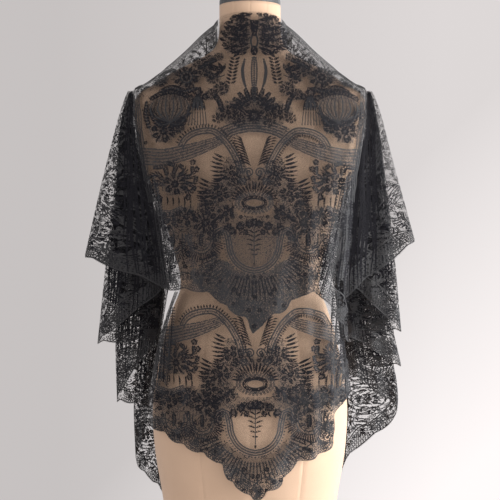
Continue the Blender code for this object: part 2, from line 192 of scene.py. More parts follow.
# Hems of the back, from the left side to the right: across, height
UPPER_HEM = (
    (-0.1480, 0.8700),
    (-0.1190, 0.8700),
    (-0.0760, 0.8650),
    (-0.0560, 0.8560),
    (-0.0440, 0.8440),
    (-0.0180, 0.8260),
    (-0.0010, 0.8160),
    (0.0080, 0.7945),
    (0.0250, 0.8180),
    (0.0530, 0.8320),
    (0.0710, 0.8500),
    (0.0850, 0.8600),
    (0.1080, 0.8640),
    (0.1400, 0.8300),
    (0.1700, 0.7700),
)
LOWER_HEM = (
    (-0.1790, 0.6330),
    (-0.1560, 0.6260),
    (-0.1330, 0.6140),
    (-0.1010, 0.5980),
    (-0.0750, 0.5890),
    (-0.0450, 0.5700),
    (-0.0330, 0.5450),
    (-0.0130, 0.5300),
    (0.0100, 0.5140),
    (0.0320, 0.5280),
    (0.0500, 0.5390),
    (0.0650, 0.5620),
    (0.0850, 0.5780),
    (0.1150, 0.5860),
    (0.1370, 0.6100),
    (0.1390, 0.6500),
    (0.1510, 0.6680),
    (0.1740, 0.6880),
    (0.1710, 0.7450),
)

# Path of the front edge of each front panel: height, left distance from the middle, right distance
FRONT_EDGE = (
    (0.470, 0.160, 0.170),
    (0.540, 0.166, 0.172),
    (0.650, 0.172, 0.176),
    (0.760, 0.168, 0.172),
    (0.850, 0.155, 0.160),
    (1.000, 0.128, 0.130),
    (1.130, 0.100, 0.102),
    (1.260, 0.074, 0.074),
    (1.340, 0.058, 0.058),
)

# Valleys between the flutes, beside the form: height, distance from the middle
VALLEY = (
    (0.480, 0.176),
    (0.600, 0.184),
    (0.660, 0.186),
    (0.720, 0.178),
    (0.800, 0.164),
    (0.873, 0.158),
    (0.950, 0.163),
    (1.050, 0.185),
    (1.150, 0.210),
    (1.190, 0.2125),
    (FOLD_Z, 0.2110),
)

# Depth of the four valleys on each side, behind (-) to before (+) the middle: height, one column a valley
VALLEY_DEPTH = (
    (0.640, -0.050, -0.012, 0.030, 0.072),
    (0.873, -0.050, -0.010, 0.032, 0.074),
    (1.0566, -0.062, -0.018, 0.026, 0.070),
    (1.152, -0.058, -0.018, 0.020, 0.056),
    (1.195, -0.044, -0.014, 0.014, 0.044),
    (1.215, -0.030, -0.010, 0.010, 0.030),
    (FOLD_Z, -0.022, -0.007, 0.007, 0.022),
)

# Each flute: side, number, outer edge as (height, distance) from the top down, then hem heights at the
# first valley, outer edge and second valley
FLUTES = (
    (-1, 1, ((FOLD_Z, 0.218), (1.200, 0.2245), (1.100, 0.2510), (0.928, 0.2925)),
     (0.870, 0.927, 0.868)),
    (-1, 2, ((FOLD_Z, 0.217), (1.190, 0.2270), (1.050, 0.2440), (0.914, 0.260), (0.770, 0.275)),
     (0.868, 0.770, 0.775)),
    (-1, 3, ((FOLD_Z, 0.217), (1.190, 0.2250), (1.000, 0.2400), (0.761, 0.247), (0.660, 0.244)),
     (0.775, 0.660, 0.652)),
    (1, 1, ((FOLD_Z, 0.218), (1.200, 0.2250), (1.100, 0.2510), (0.955, 0.2915)),
     (0.850, 0.955, 0.900)),
    (1, 2, ((FOLD_Z, 0.217), (1.190, 0.2250), (1.050, 0.2460), (0.934, 0.260), (0.790, 0.273)),
     (0.900, 0.792, 0.790)),
    (1, 3, ((FOLD_Z, 0.217), (1.190, 0.2250), (1.000, 0.2460), (0.790, 0.263), (0.726, 0.277)),
     (0.790, 0.726, 0.720)),
)

# Each front end: side, outer edge of its flute as (height, distance), then hem heights at the valley,
# outer edge and tip
FRONT_ENDS = (
    (-1, ((FOLD_Z, 0.2160), (1.100, 0.212), (0.800, 0.205), (0.648, 0.216), (0.540, 0.212)),
     (0.652, 0.562, 0.4766)),
    (1, ((FOLD_Z, 0.2160), (1.100, 0.220), (0.800, 0.250), (0.660, 0.275), (0.560, 0.255)),
     (0.720, 0.655, 0.5190)),
)


def smooth(table, at, column=1):
    """Value of a table's column at a place in its first column, with a smooth curve through the rows."""
    rows = sorted(table, key=lambda row: row[0])
    xs = np.array([row[0] for row in rows])
    ys = np.array([row[column] for row in rows])
    slopes = np.gradient(ys, xs)
    steps = np.diff(ys) / np.diff(xs)
    limit = 3 * np.minimum(np.abs(steps[:-1]), np.abs(steps[1:]))
    flat = steps[:-1] * steps[1:] <= 0
    slopes[1:-1] = np.where(flat, 0, np.clip(slopes[1:-1], -limit, limit))
    at = np.clip(np.asarray(at, float), xs[0], xs[-1])
    i = np.clip(np.searchsorted(xs, at, side="right") - 1, 0, len(xs) - 2)
    width = xs[i + 1] - xs[i]
    t = (at - xs[i]) / width
    start = (1 + 2 * t) * (1 - t) ** 2 * ys[i] + t * (1 - t) ** 2 * width * slopes[i]
    end = t**2 * (3 - 2 * t) * ys[i + 1] + t**2 * (t - 1) * width * slopes[i + 1]
    return start + end


def ease(t):
    t = np.clip(t, 0, 1)
    return t * t * (3 - 2 * t)


def body_depth(x, z, column):
    """Depth of the form's back (column 2) or front (3) at a place across and a height."""
    half, power = smooth(BODY, z, 1), smooth(BODY, z, 4)
    left = np.clip(1 - np.abs(x / half) ** power, 0, 1)
    return smooth(BODY, z, column) * left ** (1 / power)


def rest_gap(z, sloped):
    """Room between the form and the cloth, wider by sloped over the shoulders."""
    return REST_GAP + sloped * np.exp(-(((z - SLOPE_Z) / SLOPE_SPREAD) ** 2))


def over_body(hang, body, room):
    """The larger of both depths, rounded where the cloth leaves the form."""
    return (hang + body + np.sqrt((hang - body) ** 2 + room**2)) / 2


def rounding(drop):
    """How softly the cloth leaves the form at a drop below the fold."""
    return FOLD_ROUNDING + HANG_ROUNDING * (1 - np.exp(-drop / ROUNDING_DROP))


def fold_top(x):
    return smooth(FOLD_LINE, np.abs(x))


def fold_depth(x):
    """How far the fold line lies from the middle plane, round the neck and at the shoulder's end."""
    neck = np.sqrt(np.clip(NECK_LOOP**2 - x**2, 0, None))
    end = OPENING * ease((np.abs(x) - OPENING_X) / (FOLD_X - OPENING_X))
    return np.maximum(neck, end) + CLOTH / 2 + SEAM


def side_width(edges, x, z):
    return np.where(x < 0, smooth(edges, z, 1), smooth(edges, z, 2))


def back_point(edges, x, z):
    """Place of the inner face of a back panel with these side edges, at a place across and a height."""
    wide = side_width(edges, x, z)
    edge = smooth(edges, z, 3)
    across = np.clip(1 - np.abs(x / wide) ** 2.4, 0, 1) ** (1 / 2.2)
    plan = edge + (smooth(HANG_BACK, z) - edge) * across
    drop = np.clip(fold_top(x) - z, 0, None)
    top = fold_depth(x)
    hang = top + (plan - top) * (1 - np.exp(-drop / BACK_TURN))
    body = body_depth(x, z, 2) + rest_gap(z, BACK_SLOPE_GAP)
    return np.stack([x, -over_body(hang, body, rounding(drop)), z], axis=-1)


def folds(u, z, rows):
    """Depth of the soft upright folds at a share of the half width and a height."""
    total = np.zeros_like(u)
    for place, width, depth, top, full in rows:
        total += depth * np.exp(-(((u - place) / width) ** 2)) * ease((top - z) / (top - full))
    return total


# Upright folds of the back: place and width as shares of the half width, depth, then the heights where each
# one starts and is full
BACK_FOLDS = (
    (-0.90, 0.055, 0.006, 1.20, 0.95),
    (-0.70, 0.080, 0.004, 1.10, 0.80),
    (-0.30, 0.100, 0.004, 0.95, 0.60),
    (0.22, 0.090, 0.004, 0.95, 0.60),
    (0.58, 0.060, 0.007, 1.18, 0.90),
    (0.74, 0.055, 0.009, 1.20, 0.90),
    (0.90, 0.055, 0.008, 1.20, 0.92),
)


def run_along(path):
    """Distance along a path at each of its points."""
    return np.concatenate([[0], np.cumsum(np.linalg.norm(np.diff(path, axis=0), axis=1))])


def hem_curve(rows, many):
    """Points at even steps along a hem, with many scallops hanging from it."""
    rough = np.array(rows)
    length = run_along(rough)
    at = np.linspace(0, length[-1], many * STEPS_A_SCALLOP + 1)
    table = [(length[i], rough[i][0], rough[i][1]) for i in range(len(rows))]
    x, z = smooth(table, at, 1), smooth(table, at, 2)
    tangent = np.stack([np.gradient(x), np.gradient(z)], axis=1)
    tangent /= np.linalg.norm(tangent, axis=1, keepdims=True)
    bulge = SCALLOP_DEPTH * np.abs(np.sin(np.pi * many * at / length[-1])) ** 0.8
    bulge[[0, -1]] = 0
    x = x + tangent[:, 1] * bulge
    z = z - np.abs(tangent[:, 0]) * bulge
    return x, z


def front_point(x, z):
    top = fold_depth(x)
    plan = smooth(HANG_FRONT, z) * np.clip(1 - np.abs(x / 0.222) ** 2.6, 0.02, 1) ** (1 / 2.6)
    drop = np.clip(fold_top(x) - z, 0, None)
    hang = top + (plan - top) * (1 - np.exp(-drop / FRONT_TURN))
    body = body_depth(x, z, 3) + rest_gap(z, FRONT_SLOPE_GAP) + CLOTH / 2
    return over_body(hang, body, rounding(drop))


# Lace
CLOTHWORK, CORD, STRIPE, HALF = range(4)  # kinds of work; the last is the thin half stitch
UNDER, OVER, TOP = -0.0001, 0.0001, 0.0002  # how far a motif lies below or above its neighbours
NET_MARGIN = 0.0012  # room that the motifs keep to the panel's edge
MOTIF_LIFT = 0.0004  # motifs lie this far outside the net
LEAF_STEPS = 5
DOT_SIDES = 6
RING_SIDES = 6
NORMAL_STEP = 0.0006
EDGE_FADE = 12  # power at which folds and creases die out at the side edges
HEM_STEP = 0.0022  # distance between the points of a border
RING_STEP = 0.0044  # distance between the small rings of a border
RING_ROW = 0.0038  # from one row of rings to the next
RING_INSET = 0.0050  # first row of rings from the hem
GROUND_STEP = 0.0040  # height of one row of half stitch
EDGE_THREAD = 0.0007  # half the width of a line down a side edge
FROND_ANGLE = 0.75  # how far a frond's leaves stand off their stem
BOUQUET_SQUASH = 0.85  # height of a bouquet against its width
TUCK = 0.0035  # how far the first flute reaches behind the edge of the back
TUCK_END = 1.12  # height where the tuck starts to turn outwards
TUCK_RISE = 0.06  # height over which it turns
TUCK_TURN = 1.3  # how far it turns, as a share of itself

# Creases of the back added to its folds: top and bottom as (across, height), width, height of the ridge
BACK_CREASES = (
    (0.168, 1.100, 0.128, 0.905, 0.0050, 0.0024),
    (0.178, 1.040, 0.143, 0.880, 0.0045, 0.0028),
    (0.160, 1.020, 0.120, 0.850, 0.0040, 0.0020),
    (-0.176, 1.120, -0.128, 0.900, 0.0050, 0.0018),
    (-0.120, 1.000, -0.094, 0.872, 0.0070, 0.0012),
    (0.060, 0.960, 0.046, 0.850, 0.0080, 0.0010),
)
UNDER_CREASES = (
    (0.160, 0.800, 0.128, 0.640, 0.0050, 0.0022),
    (0.172, 0.780, 0.150, 0.690, 0.0040, 0.0024),
    (-0.170, 0.800, -0.150, 0.640, 0.0050, 0.0020),
    (-0.128, 0.740, -0.112, 0.610, 0.0060, 0.0014),
    (0.070, 0.700, 0.060, 0.580, 0.0060, 0.0010),
)
# Creases down a fall or a front: place and width as shares of its width, height, then the heights where it
# starts and is full
FALL_CREASES = (
    (0.14, 0.040, 0.0026, 1.19, 1.02),
    (0.27, 0.030, 0.0020, 1.12, 0.92),
    (0.41, 0.045, 0.0030, 1.17, 0.98),
    (0.63, 0.035, 0.0022, 1.15, 0.95),
    (0.79, 0.050, 0.0028, 1.10, 0.88),
    (0.90, 0.030, 0.0016, 1.18, 1.00),
)


def crease_heights(rows, x, z):
    """Height of slanting ridges at a place across and a height, fading at both ends."""
    total = np.zeros(np.broadcast(x, z).shape)
    for top_x, top_z, low_x, low_z, width, height in rows:
        along = (top_z - z) / (top_z - low_z)
        middle = top_x + (low_x - top_x) * along
        fade = ease(along * 4 + 0.6) * ease((1.25 - along) * 3)
        total = total + height * np.exp(-(((x - middle) / width) ** 2)) * fade
    return total


def unit(vectors):
    length = np.linalg.norm(vectors, axis=-1, keepdims=True)
    return vectors / np.maximum(length, 1e-12)


def resampled(path, count):
    """Points at even steps along a smooth curve through a path's points."""
    path = np.asarray(path, float)
    at = run_along(path)
    slopes = np.gradient(path, at, axis=0)
    wanted = np.linspace(0, at[-1], count)
    i = np.clip(np.searchsorted(at, wanted, side="right") - 1, 0, len(at) - 2)
    step = at[i + 1] - at[i]
    t = ((wanted - at[i]) / step)[:, None]
    step = step[:, None]
    start = (1 + 2 * t) * (1 - t) ** 2 * path[i] + t * (1 - t) ** 2 * step * slopes[i]
    return start + t**2 * (3 - 2 * t) * path[i + 1] + t**2 * (t - 1) * step * slopes[i + 1]


def direction(turn):
    return np.array((math.cos(turn), math.sin(turn)))


def side_of(path):
    """Unit vectors across a path in the flat."""
    along = unit(np.gradient(path, axis=0))
    return np.stack([-along[:, 1], along[:, 0]], axis=1)


def inside(outline, points):
    """Whether each point lies inside a closed outline in the flat."""
    x, z = points[:, 0], points[:, 1]
    odd = np.zeros(len(points), bool)
    for (ax, az), (bx, bz) in zip(outline, np.roll(outline, -1, axis=0)):
        if az == bz:
            continue
        crosses = (az > z) != (bz > z)
        odd ^= crosses & (x < (bx - ax) * (z - az) / (bz - az) + ax)
    return odd


def surface_normal(place, a, b):
    """Unit normal of a surface at places in the flat."""
    across = place(a + NORMAL_STEP, b) - place(a - NORMAL_STEP, b)
    down = place(a, b - NORMAL_STEP) - place(a, b + NORMAL_STEP)
    return unit(np.cross(across, down))


class Panel:
    """One piece of the shawl: where a place in the flat lies in the air, and its outline in the flat."""

    def __init__(self, node, place, outline, outward, crease):
        self.node = node
        self.place = place
        self.outline = outline
        self.crease = crease
        self.sign = 1.0
        middle = outline.mean(axis=0, keepdims=True) + outline * 0
        sample = outline * 0.7 + middle * 0.3
        normal = self.normal(sample[:, 0], sample[:, 1])
        if (normal * outward).sum() < 0:
            self.sign = -1.0

    def normal(self, a, b):
        return self.sign * surface_normal(self.place, a, b)

    def at(self, a, b, lift=0.0):
        """Places in the air, out by the creases and a lift."""
        ridge = np.asarray(self.crease(a, b) + lift)
        return self.place(a, b) + self.normal(a, b) * ridge[..., None]


class Lacework:
    """The worked motifs of one panel, as flat bands that are laid on its surface at the end."""

    def __init__(self, panel):
        self.panel = panel
        self.flat = []
        self.threads = []
        self.lifts = []
        self.faces = []
        self.kinds = []
        self.count = 0

    def add(self, flat, threads, faces, kind, lift):
        """Points in the flat with their places on the thread, and the quads between them."""
        self.flat.append(flat)
        self.threads.append(threads)
        self.lifts.append(np.full(len(flat), lift))
        self.faces.append(self.count + faces)
        self.kinds.append(np.full(len(faces), kind))
        self.count += len(flat)

    def strip(self, path, across, along, kind, lift):
        """Quads between the two edges of a path."""
        high = np.stack([along, np.ones(len(path))], axis=1)
        n = len(path)
        i = np.arange(n - 1)
        faces = np.stack([i, i + 1, n + i + 1, n + i], axis=1)
        flat = np.concatenate([path + across, path - across])
        self.add(flat, np.concatenate([high, high * (1, -1)]), faces, kind, lift)

    def band(self, path, half, kind=CLOTHWORK, lift=0.0):
        """A band along a path, with half its width given for all of it or at each point."""
        path = np.asarray(path, float)
        half = np.broadcast_to(np.asarray(half, float), len(path))[:, None]
        self.strip(path, side_of(path) * half, run_along(path), kind, lift)

    def ring(self, at, outer, inner, sides, kind=CORD, squash=1.0, lift=0.0):
        turn = np.linspace(0, 2 * np.pi, sides + 1)
        path = np.stack([np.cos(turn), np.sin(turn) * squash], axis=1) * (outer + inner) / 2 + at
        half = (outer - inner) / 2
        spokes = np.stack([np.cos(turn), np.sin(turn)], axis=1) * half
        self.strip(path, spokes, turn * (outer + inner) / 2, kind, lift)

    def dots(self, centres, radius):
        """Small discs, each of two quads."""
        centres = np.asarray(centres, float).reshape(-1, 2)
        turn = np.arange(DOT_SIDES) * 2 * np.pi / DOT_SIDES
        rim = np.stack([np.cos(turn), np.sin(turn)], axis=1)
        radius = np.broadcast_to(np.asarray(radius, float), len(centres))
        points = centres[:, None, :] + rim[None] * radius[:, None, None]
        base = np.arange(len(centres))[:, None] * DOT_SIDES
        quads = np.concatenate([base + np.array((0, 1, 2, 3)), base + np.array((0, 3, 4, 5))])
        self.add(points.reshape(-1, 2), np.tile(rim, (len(centres), 1)), quads, CORD, 0.0)

    def rings(self, centres, outer, inner):
        """Many small rings."""
        centres = np.asarray(centres, float).reshape(-1, 2)
        if not len(centres):
            return
        turn = np.arange(RING_SIDES) * 2 * np.pi / RING_SIDES
        rim = np.stack([np.cos(turn), np.sin(turn)], axis=1)
        points = centres[:, None, :] + np.concatenate([rim * outer, rim * inner])[None]
        high = np.concatenate([rim * (0, 1) + (0, 2), rim * (0, 1) - (0, 2)])
        i = np.arange(RING_SIDES)
        following = (i + 1) % RING_SIDES
        one = np.stack([i, following, RING_SIDES + following, RING_SIDES + i], axis=1)
        base = np.arange(len(centres))[:, None, None] * RING_SIDES * 2
        quads = (base + one[None]).reshape(-1, 4)
        self.add(points.reshape(-1, 2), np.tile(high, (len(centres), 1)), quads, CORD, 0.0)

    def leaf(self, at, angle, length, width, bend=0.0, lift=0.0):
        """A pointed leaf from its foot; bend curves it, in radians over its length."""
        t = np.linspace(0, 1, LEAF_STEPS)
        heading = angle + bend * t
        step = length / (LEAF_STEPS - 1)
        moves = np.stack([np.cos(heading), np.sin(heading)], axis=1) * step
        path = np.asarray(at, float) + np.concatenate([[[0, 0]], np.cumsum(moves[:-1], axis=0)])
        half = width / 2 * (np.sin(np.pi * t**0.85) ** 0.8 + 0.04)
        self.band(path, half, CLOTHWORK, lift)

    def flower(self, at, radius, petals, angle=0.0):
        foot = 0.22 * radius
        for i in range(petals):
            turn = angle + 2 * np.pi * i / petals
            start = np.asarray(at) + foot * direction(turn)
            self.leaf(start, turn, radius * 0.8, radius * 4.2 / petals, 0.0, OVER)
        self.ring(at, foot * 1.1, foot * 0.35, RING_SIDES, CORD, 1.0, TOP)

    def bouquet(self, at, radius, seed):
        """A full flower with leaves round it and small blooms between them."""
        random = np.random.default_rng(seed)
        at = np.asarray(at, float)
        shape = np.array((1.0, BOUQUET_SQUASH))
        self.flower(at, radius * 0.34, 8, random.random())
        leaves = 11
        for i in range(leaves):
            turn = 2 * np.pi * (i + 0.3 * random.random()) / leaves
            away = direction(turn)
            foot = at + away * shape * radius * 0.34
            length = radius * (0.44 + 0.22 * random.random())
            self.leaf(foot, turn, length, radius * 0.17, random.uniform(-0.5, 0.5))
        blooms = 6
        for i in range(blooms):
            turn = 2 * np.pi * (i + 0.5 + 0.2 * random.random()) / blooms
            away = direction(turn)
            centre = at + away * shape * radius * (0.66 + 0.1 * random.random())
            self.flower(centre, radius * random.uniform(0.17, 0.24), 5, turn)

    def scroll(self, path, gap, half, count):
        """Two parallel cords along a curve."""
        line = resampled(path, count)
        across = side_of(line) * gap
        self.band(line + across, half, CORD)
        self.band(line - across, half, CORD)

    def ribbon(self, path, width, stripes, half, count):
        """Parallel stripes along a curve, in a band whose width is given at the path's points."""
        line = resampled(path, count)
        wide = np.interp(np.linspace(0, 1, count), np.linspace(0, 1, len(width)), width)
        across = side_of(line) * wide[:, None]
        for i in range(stripes):
            share = i / (stripes - 1) - 0.5
            self.band(line + across * share, half * wide / max(wide), STRIPE)

    def rays(self, centre, inner, outer, start, end, count, half):
        """Short bands that fan out round a centre, every second one a little longer."""
        for i in range(count):
            turn = start + (end - start) * i / (count - 1)
            away = direction(turn)
            reach = outer * (0.92 + 0.08 * (i % 2))
            path = np.asarray(centre) + away * np.linspace(inner, reach, 5)[:, None]
            self.band(path, half * np.linspace(0.7, 1.2, 5))

    def mesh_of(self, name, lift):
        """The motifs inside the panel's outline, as one object on its surface."""
        flat = np.concatenate(self.flat)
        faces = np.concatenate(self.faces)
        kinds = np.concatenate(self.kinds)
        within = inside(self.panel.outline, flat)
        kept = within[faces].all(axis=1)
        faces, kinds = faces[kept], kinds[kept]
        used, faces = np.unique(faces, return_inverse=True)
        faces = faces.reshape(-1, 4)
        flat = flat[used]
        threads = np.concatenate(self.threads)[used]
        lifts = np.concatenate(self.lifts)[used] + lift
        points = self.panel.at(flat[:, 0], flat[:, 1], lifts)
        return quad_mesh(name, points, faces, threads, "thread", kinds)


def placed(name, data):
    """A new object in the scene."""
    obj = bpy.data.objects.new(name, data)
    bpy.context.scene.collection.objects.link(obj)
    return obj


def quad_mesh(name, points, faces, flat, layer, kinds=None):
    """An object of quads, with a place in the flat for each point."""
    mesh = bpy.data.meshes.new(name)
    mesh.from_pydata([], [], [])
    mesh.vertices.add(len(points))
    mesh.vertices.foreach_set("co", np.asarray(points, np.float32).ravel())
    mesh.loops.add(faces.size)
    mesh.loops.foreach_set("vertex_index", faces.astype(np.int32).ravel())
    mesh.polygons.add(len(faces))
    mesh.polygons.foreach_set("loop_start", np.arange(0, faces.size, 4, dtype=np.int32))
    mesh.polygons.foreach_set("use_smooth", np.ones(len(faces), bool))
    if kinds is not None:
        mesh.polygons.foreach_set("material_index", kinds.astype(np.int32))
    mesh.update(calc_edges=True)
    uv = mesh.uv_layers.new(name=layer)
    uv.data.foreach_set("uv", np.asarray(flat, np.float32)[faces.ravel()].ravel())
    mesh.validate()
    return placed(name, mesh)


def net_of(panel, name, grid_flat):
    """The net of a panel on a grid of places in the flat, with its true lengths as the net's own flat."""
    points = panel.at(grid_flat[..., 0], grid_flat[..., 1])
    rows, cols = points.shape[:2]
    run = np.linalg.norm(np.diff(points, axis=1), axis=2)
    across = np.concatenate([np.zeros((rows, 1)), np.cumsum(run, axis=1)], axis=1)
    across -= across[:, cols // 2][:, None]
    drop = np.linalg.norm(np.diff(points, axis=0), axis=2)
    down = np.concatenate([np.zeros((1, cols)), np.cumsum(drop, axis=0)], axis=0)
    flat = np.stack([across, -down], axis=-1).reshape(-1, 2)
    corner = (np.arange(rows - 1)[:, None] * cols + np.arange(cols - 1)).ravel()
    faces = np.stack([corner, corner + cols, corner + cols + 1, corner + 1], axis=1)
    return quad_mesh(name, points.reshape(-1, 3), faces, flat, "net")


# Panels of the back
def back_panel(node, edges, layer, hem_rows, scallops, creases, top_drop):
    """A layer of the back, whose flat is the distance across by the height."""

    def fade(share):
        return np.clip(1 - np.abs(share) ** EDGE_FADE, 0, 1)

    def place(x, z):
        x, z = np.broadcast_arrays(x, z)
        point = back_point(edges, x, z)
        normal = surface_normal(lambda a, b: back_point(edges, a, b), x, z)
        normal = np.where(normal[..., 1:2] > 0, -normal, normal)
        share = x / side_width(edges, x, z)
        depth = folds(share, z, BACK_FOLDS) * fade(share) + layer * LAYER_STEP + CLOTH / 2
        return point + normal * depth[..., None]

    def crease(x, z):
        share = x / side_width(edges, x, z)
        return crease_heights(creases, x, z) * fade(share)

    hem_x, hem_z = hem_curve(hem_rows, scallops)
    top_x = np.linspace(FOLD_X - 0.004, -FOLD_X + 0.004, 60)
    heights = np.linspace(0, 1, 30)
    right_z = hem_z[-1] + (fold_top(top_x[0]) - top_drop - hem_z[-1]) * heights
    left_z = hem_z[0] + (fold_top(top_x[-1]) - top_drop - hem_z[0]) * heights
    right = np.stack([side_width(edges, 1.0, right_z) - NET_MARGIN, right_z], axis=1)
    left = np.stack([NET_MARGIN - side_width(edges, -1.0, left_z), left_z], axis=1)[::-1]
    top = np.stack([top_x, fold_top(top_x) - top_drop - NET_MARGIN], axis=1)
    hem = np.stack([hem_x, hem_z], axis=1)
    outline = np.concatenate([hem, right, top, left])
    return Panel(node, place, outline, np.array((0.0, -1.0, 0.0)), crease)


def back_net_grid(edges, hem_rows, scallops, top_drop, rows, finer):
    """Grid in the flat from the fold down to the scalloped hem."""
    hem_x, hem_z = hem_curve(hem_rows, scallops)
    at = np.linspace(0, 1, len(hem_x))
    fine = np.linspace(0, 1, (len(hem_x) - 1) * finer + 1)
    hem_x, hem_z = np.interp(fine, at, hem_x), np.interp(fine, at, hem_z)
    u = fine * 2 - 1
    top_x = u * smooth(edges, FOLD_Z)
    top_z = fold_top(top_x) - top_drop
    hem_share = np.clip(hem_x / side_width(edges, u, hem_z), -1, 1)
    hem_share[0], hem_share[-1] = -1, 1
    v = np.linspace(0, 1, rows)[:, None] ** 1.3
    z = top_z + (hem_z - top_z) * v
    share = u + (hem_share - u) * v
    x = share * (side_width(edges, share, z) - SEAM)
    return np.stack([x, z], axis=-1)


# Panels of the falls and the fronts, whose flat runs across in metres from the first valley
def fall_hem(hems, t):
    first = hems[0] + (hems[1] - hems[0]) * ease(t * 2)
    second = hems[1] + (hems[2] - hems[1]) * ease(t * 2 - 1)
    return np.where(t < 0.5, first, second) - SCALLOP_DEPTH * np.abs(np.sin(np.pi * 5 * t))


def fall_place(side, number, outer, t, z):
    inner = smooth(VALLEY, z)
    first = inner
    if number == 1:
        first = side_width(BACK_EDGE, side, z) - TUCK * (1 - TUCK_TURN * ease((z - TUCK_END) / TUCK_RISE))
        inner = first + (inner - first) * ease(t * 2 - 1)
    x = inner + (smooth(outer, z) - inner) * np.sin(np.pi * np.clip(t, 0, 1)) ** 2
    y0 = smooth(VALLEY_DEPTH, z, number)
    y1 = smooth(VALLEY_DEPTH, z, number + 1)
    gap = SEAM / 2 + CLOTH / 2
    y = y0 + gap + (y1 - y0 - 2 * gap) * (t + 0.8 * np.sin(4 * np.pi * t) / (4 * np.pi))
    return np.stack(np.broadcast_arrays(side * x, y, z), axis=-1)


def front_hem(hems, t):
    first = hems[0] + (hems[1] - hems[0]) * ease(t / 0.4)
    second = hems[1] + (hems[2] - hems[1]) * np.clip((t - 0.4) / 0.6, 0, 1)
    hem = np.where(t < 0.4, first, second)
    return hem - SCALLOP_DEPTH * np.abs(np.sin(np.pi * 6 * t)) * (t < 0.99)


def front_top(t):
    top_x = FOLD_X - SEAM + (NECK_X - FOLD_X) * t
    return top_x, fold_top(top_x)


def front_place(side, outer, t, z):
    t, z = np.broadcast_arrays(t, z)
    top_x, top_z = front_top(t)
    z = np.minimum(z, top_z)
    valley = smooth(VALLEY, z)
    edge = smooth(FRONT_EDGE, z, 1 if side < 0 else 2)
    flat = valley + (edge - valley) * t
    bump = np.sin(np.pi * np.clip(t / 0.95, 0, 1)) ** 2
    out = smooth(outer, z)
    x = flat + np.clip(out - flat, 0, None) * bump * ease((1.15 - z) / 0.35)
    x = top_x + (x - top_x) * ease((top_z - z) / 0.16)
    start = smooth(VALLEY_DEPTH, z, 4) + SEAM + CLOTH / 2
    ahead = front_point(np.minimum(x, 0.215), z)
    y = start + np.clip(ahead - start, 0.004, None) * ease((t - 0.05) / 0.4)
    top_y = fold_depth(top_x) + CLOTH / 2
    y = top_y + (y - top_y) * ease((top_z - z) / 0.022)
    clear = body_depth(x, z, 3) + rest_gap(z, FRONT_SLOPE_GAP) + CLOTH / 2
    y = np.where((t > 0.1) | (z > 1.17), over_body(y, clear, 0.001), y)
    return np.stack([side * x, y, z], axis=-1)


def hanging_panel(node, place_at, hem_at, top_at, width, outward, crease_rows):
    """A fall or a front, whose flat is its width across by its height in the air."""

    def place(a, z):
        return place_at(np.clip(a / width, 0, 1), z)

    def crease(a, z):
        t = a / width
        return folds(t, z, crease_rows) * ease(t * 12) * ease((1 - t) * 12)

    t = np.linspace(0, 1, 60)
    hem = np.stack([t * width, hem_at(t)], axis=1)
    top = np.stack([t * width, top_at(t)], axis=1)[::-1]
    return Panel(node, place, np.concatenate([hem, top]), outward, crease)


def hanging_net_grid(hem_at, top_at, width, cols, rows, power):
    t = np.linspace(0, 1, cols)
    v = np.linspace(0, 1, rows)[:, None] ** power
    z = top_at(t) + (hem_at(t) - top_at(t)) * v
    return np.stack([np.broadcast_to(t * width, z.shape), z], axis=-1)


# Motifs


def heading(side, angle):
    """An angle measured from outwards on the right, turned over for the left."""
    return angle if side > 0 else np.pi - angle


class Spot:
    """Where a motif is drawn: the pattern's axis, a level, and one side of the axis."""

    def __init__(self, axis, level, side):
        self.axis = axis
        self.level = level
        self.side = side

    def at(self, rows):
        """Places given as distances from the axis and above the level."""
        rows = np.asarray(rows, float)
        return np.stack([self.axis + self.side * rows[..., 0], self.level + rows[..., 1]], axis=-1)

    def turn(self, angle):
        return heading(self.side, angle)


# Courses of one repeat: distance from the axis, height above the oval's centre
CANE = (
    (
        0.1250, 0.0960,
    ), (0.1180, 0.1080), (0.1060, 0.1170), (0.0874, 0.1225), (0.0700, 0.1220), (0.0550, 0.1110),
    (0.0411, 0.0943), (0.0330, 0.0800), (0.0274, 0.0686), (0.0235, 0.0480),
)
RIBBON = (
    (0.2060, 0.0860), (0.1800, 0.0815), (0.1560, 0.0790), (0.1183, 0.0860), (0.0840, 0.0968),
    (0.0520, 0.1090),
)
RIBBON_WIDTH = (0.0245, 0.0265, 0.0270, 0.0235, 0.0190, 0.0130)
MEDALLION = (
    (0.0610, -0.0660), (0.0600, -0.0540), (0.0530, -0.0500), (0.0485, -0.0620), (0.0440, -0.0860),
    (0.0320, -0.1060), (0.0150, -0.1170), (0.0000, -0.1205),
)
SWAG = ((0.1850, -0.0030), (0.1660, -0.0130), (0.1440, -0.0170), (0.1200, -0.0080))
# Closely worked parts of one repeat
HEART = (
    (
        0.000, 0.044,
    ), (0.014, 0.062), (0.030, 0.074), (0.048, 0.078), (0.054, 0.056), (0.060, 0.034), (0.076, 0.014),
    (0.104, -0.016), (0.074, -0.034), (0.040, -0.046), (0.000, -0.046), (0.000, -0.024), (0.026, -0.022),
    (0.037, -0.010), (0.038, 0.012), (0.024, 0.028), (0.000, 0.032),
)
FLOUNCE = (
    (0.052, -0.044), (0.074, -0.024), (0.110, -0.012), (0.150, -0.018), (0.205, -0.012), (0.205, -0.120),
    (0.120, -0.130), (0.060, -0.140), (0.050, -0.112), (0.060, -0.080),
)
TIP = (
    (-0.002, -0.124), (0.028, -0.116), (0.048, -0.098), (0.075, -0.100), (0.110, -0.120), (0.040, -0.230),
    (-0.002, -0.240),
)


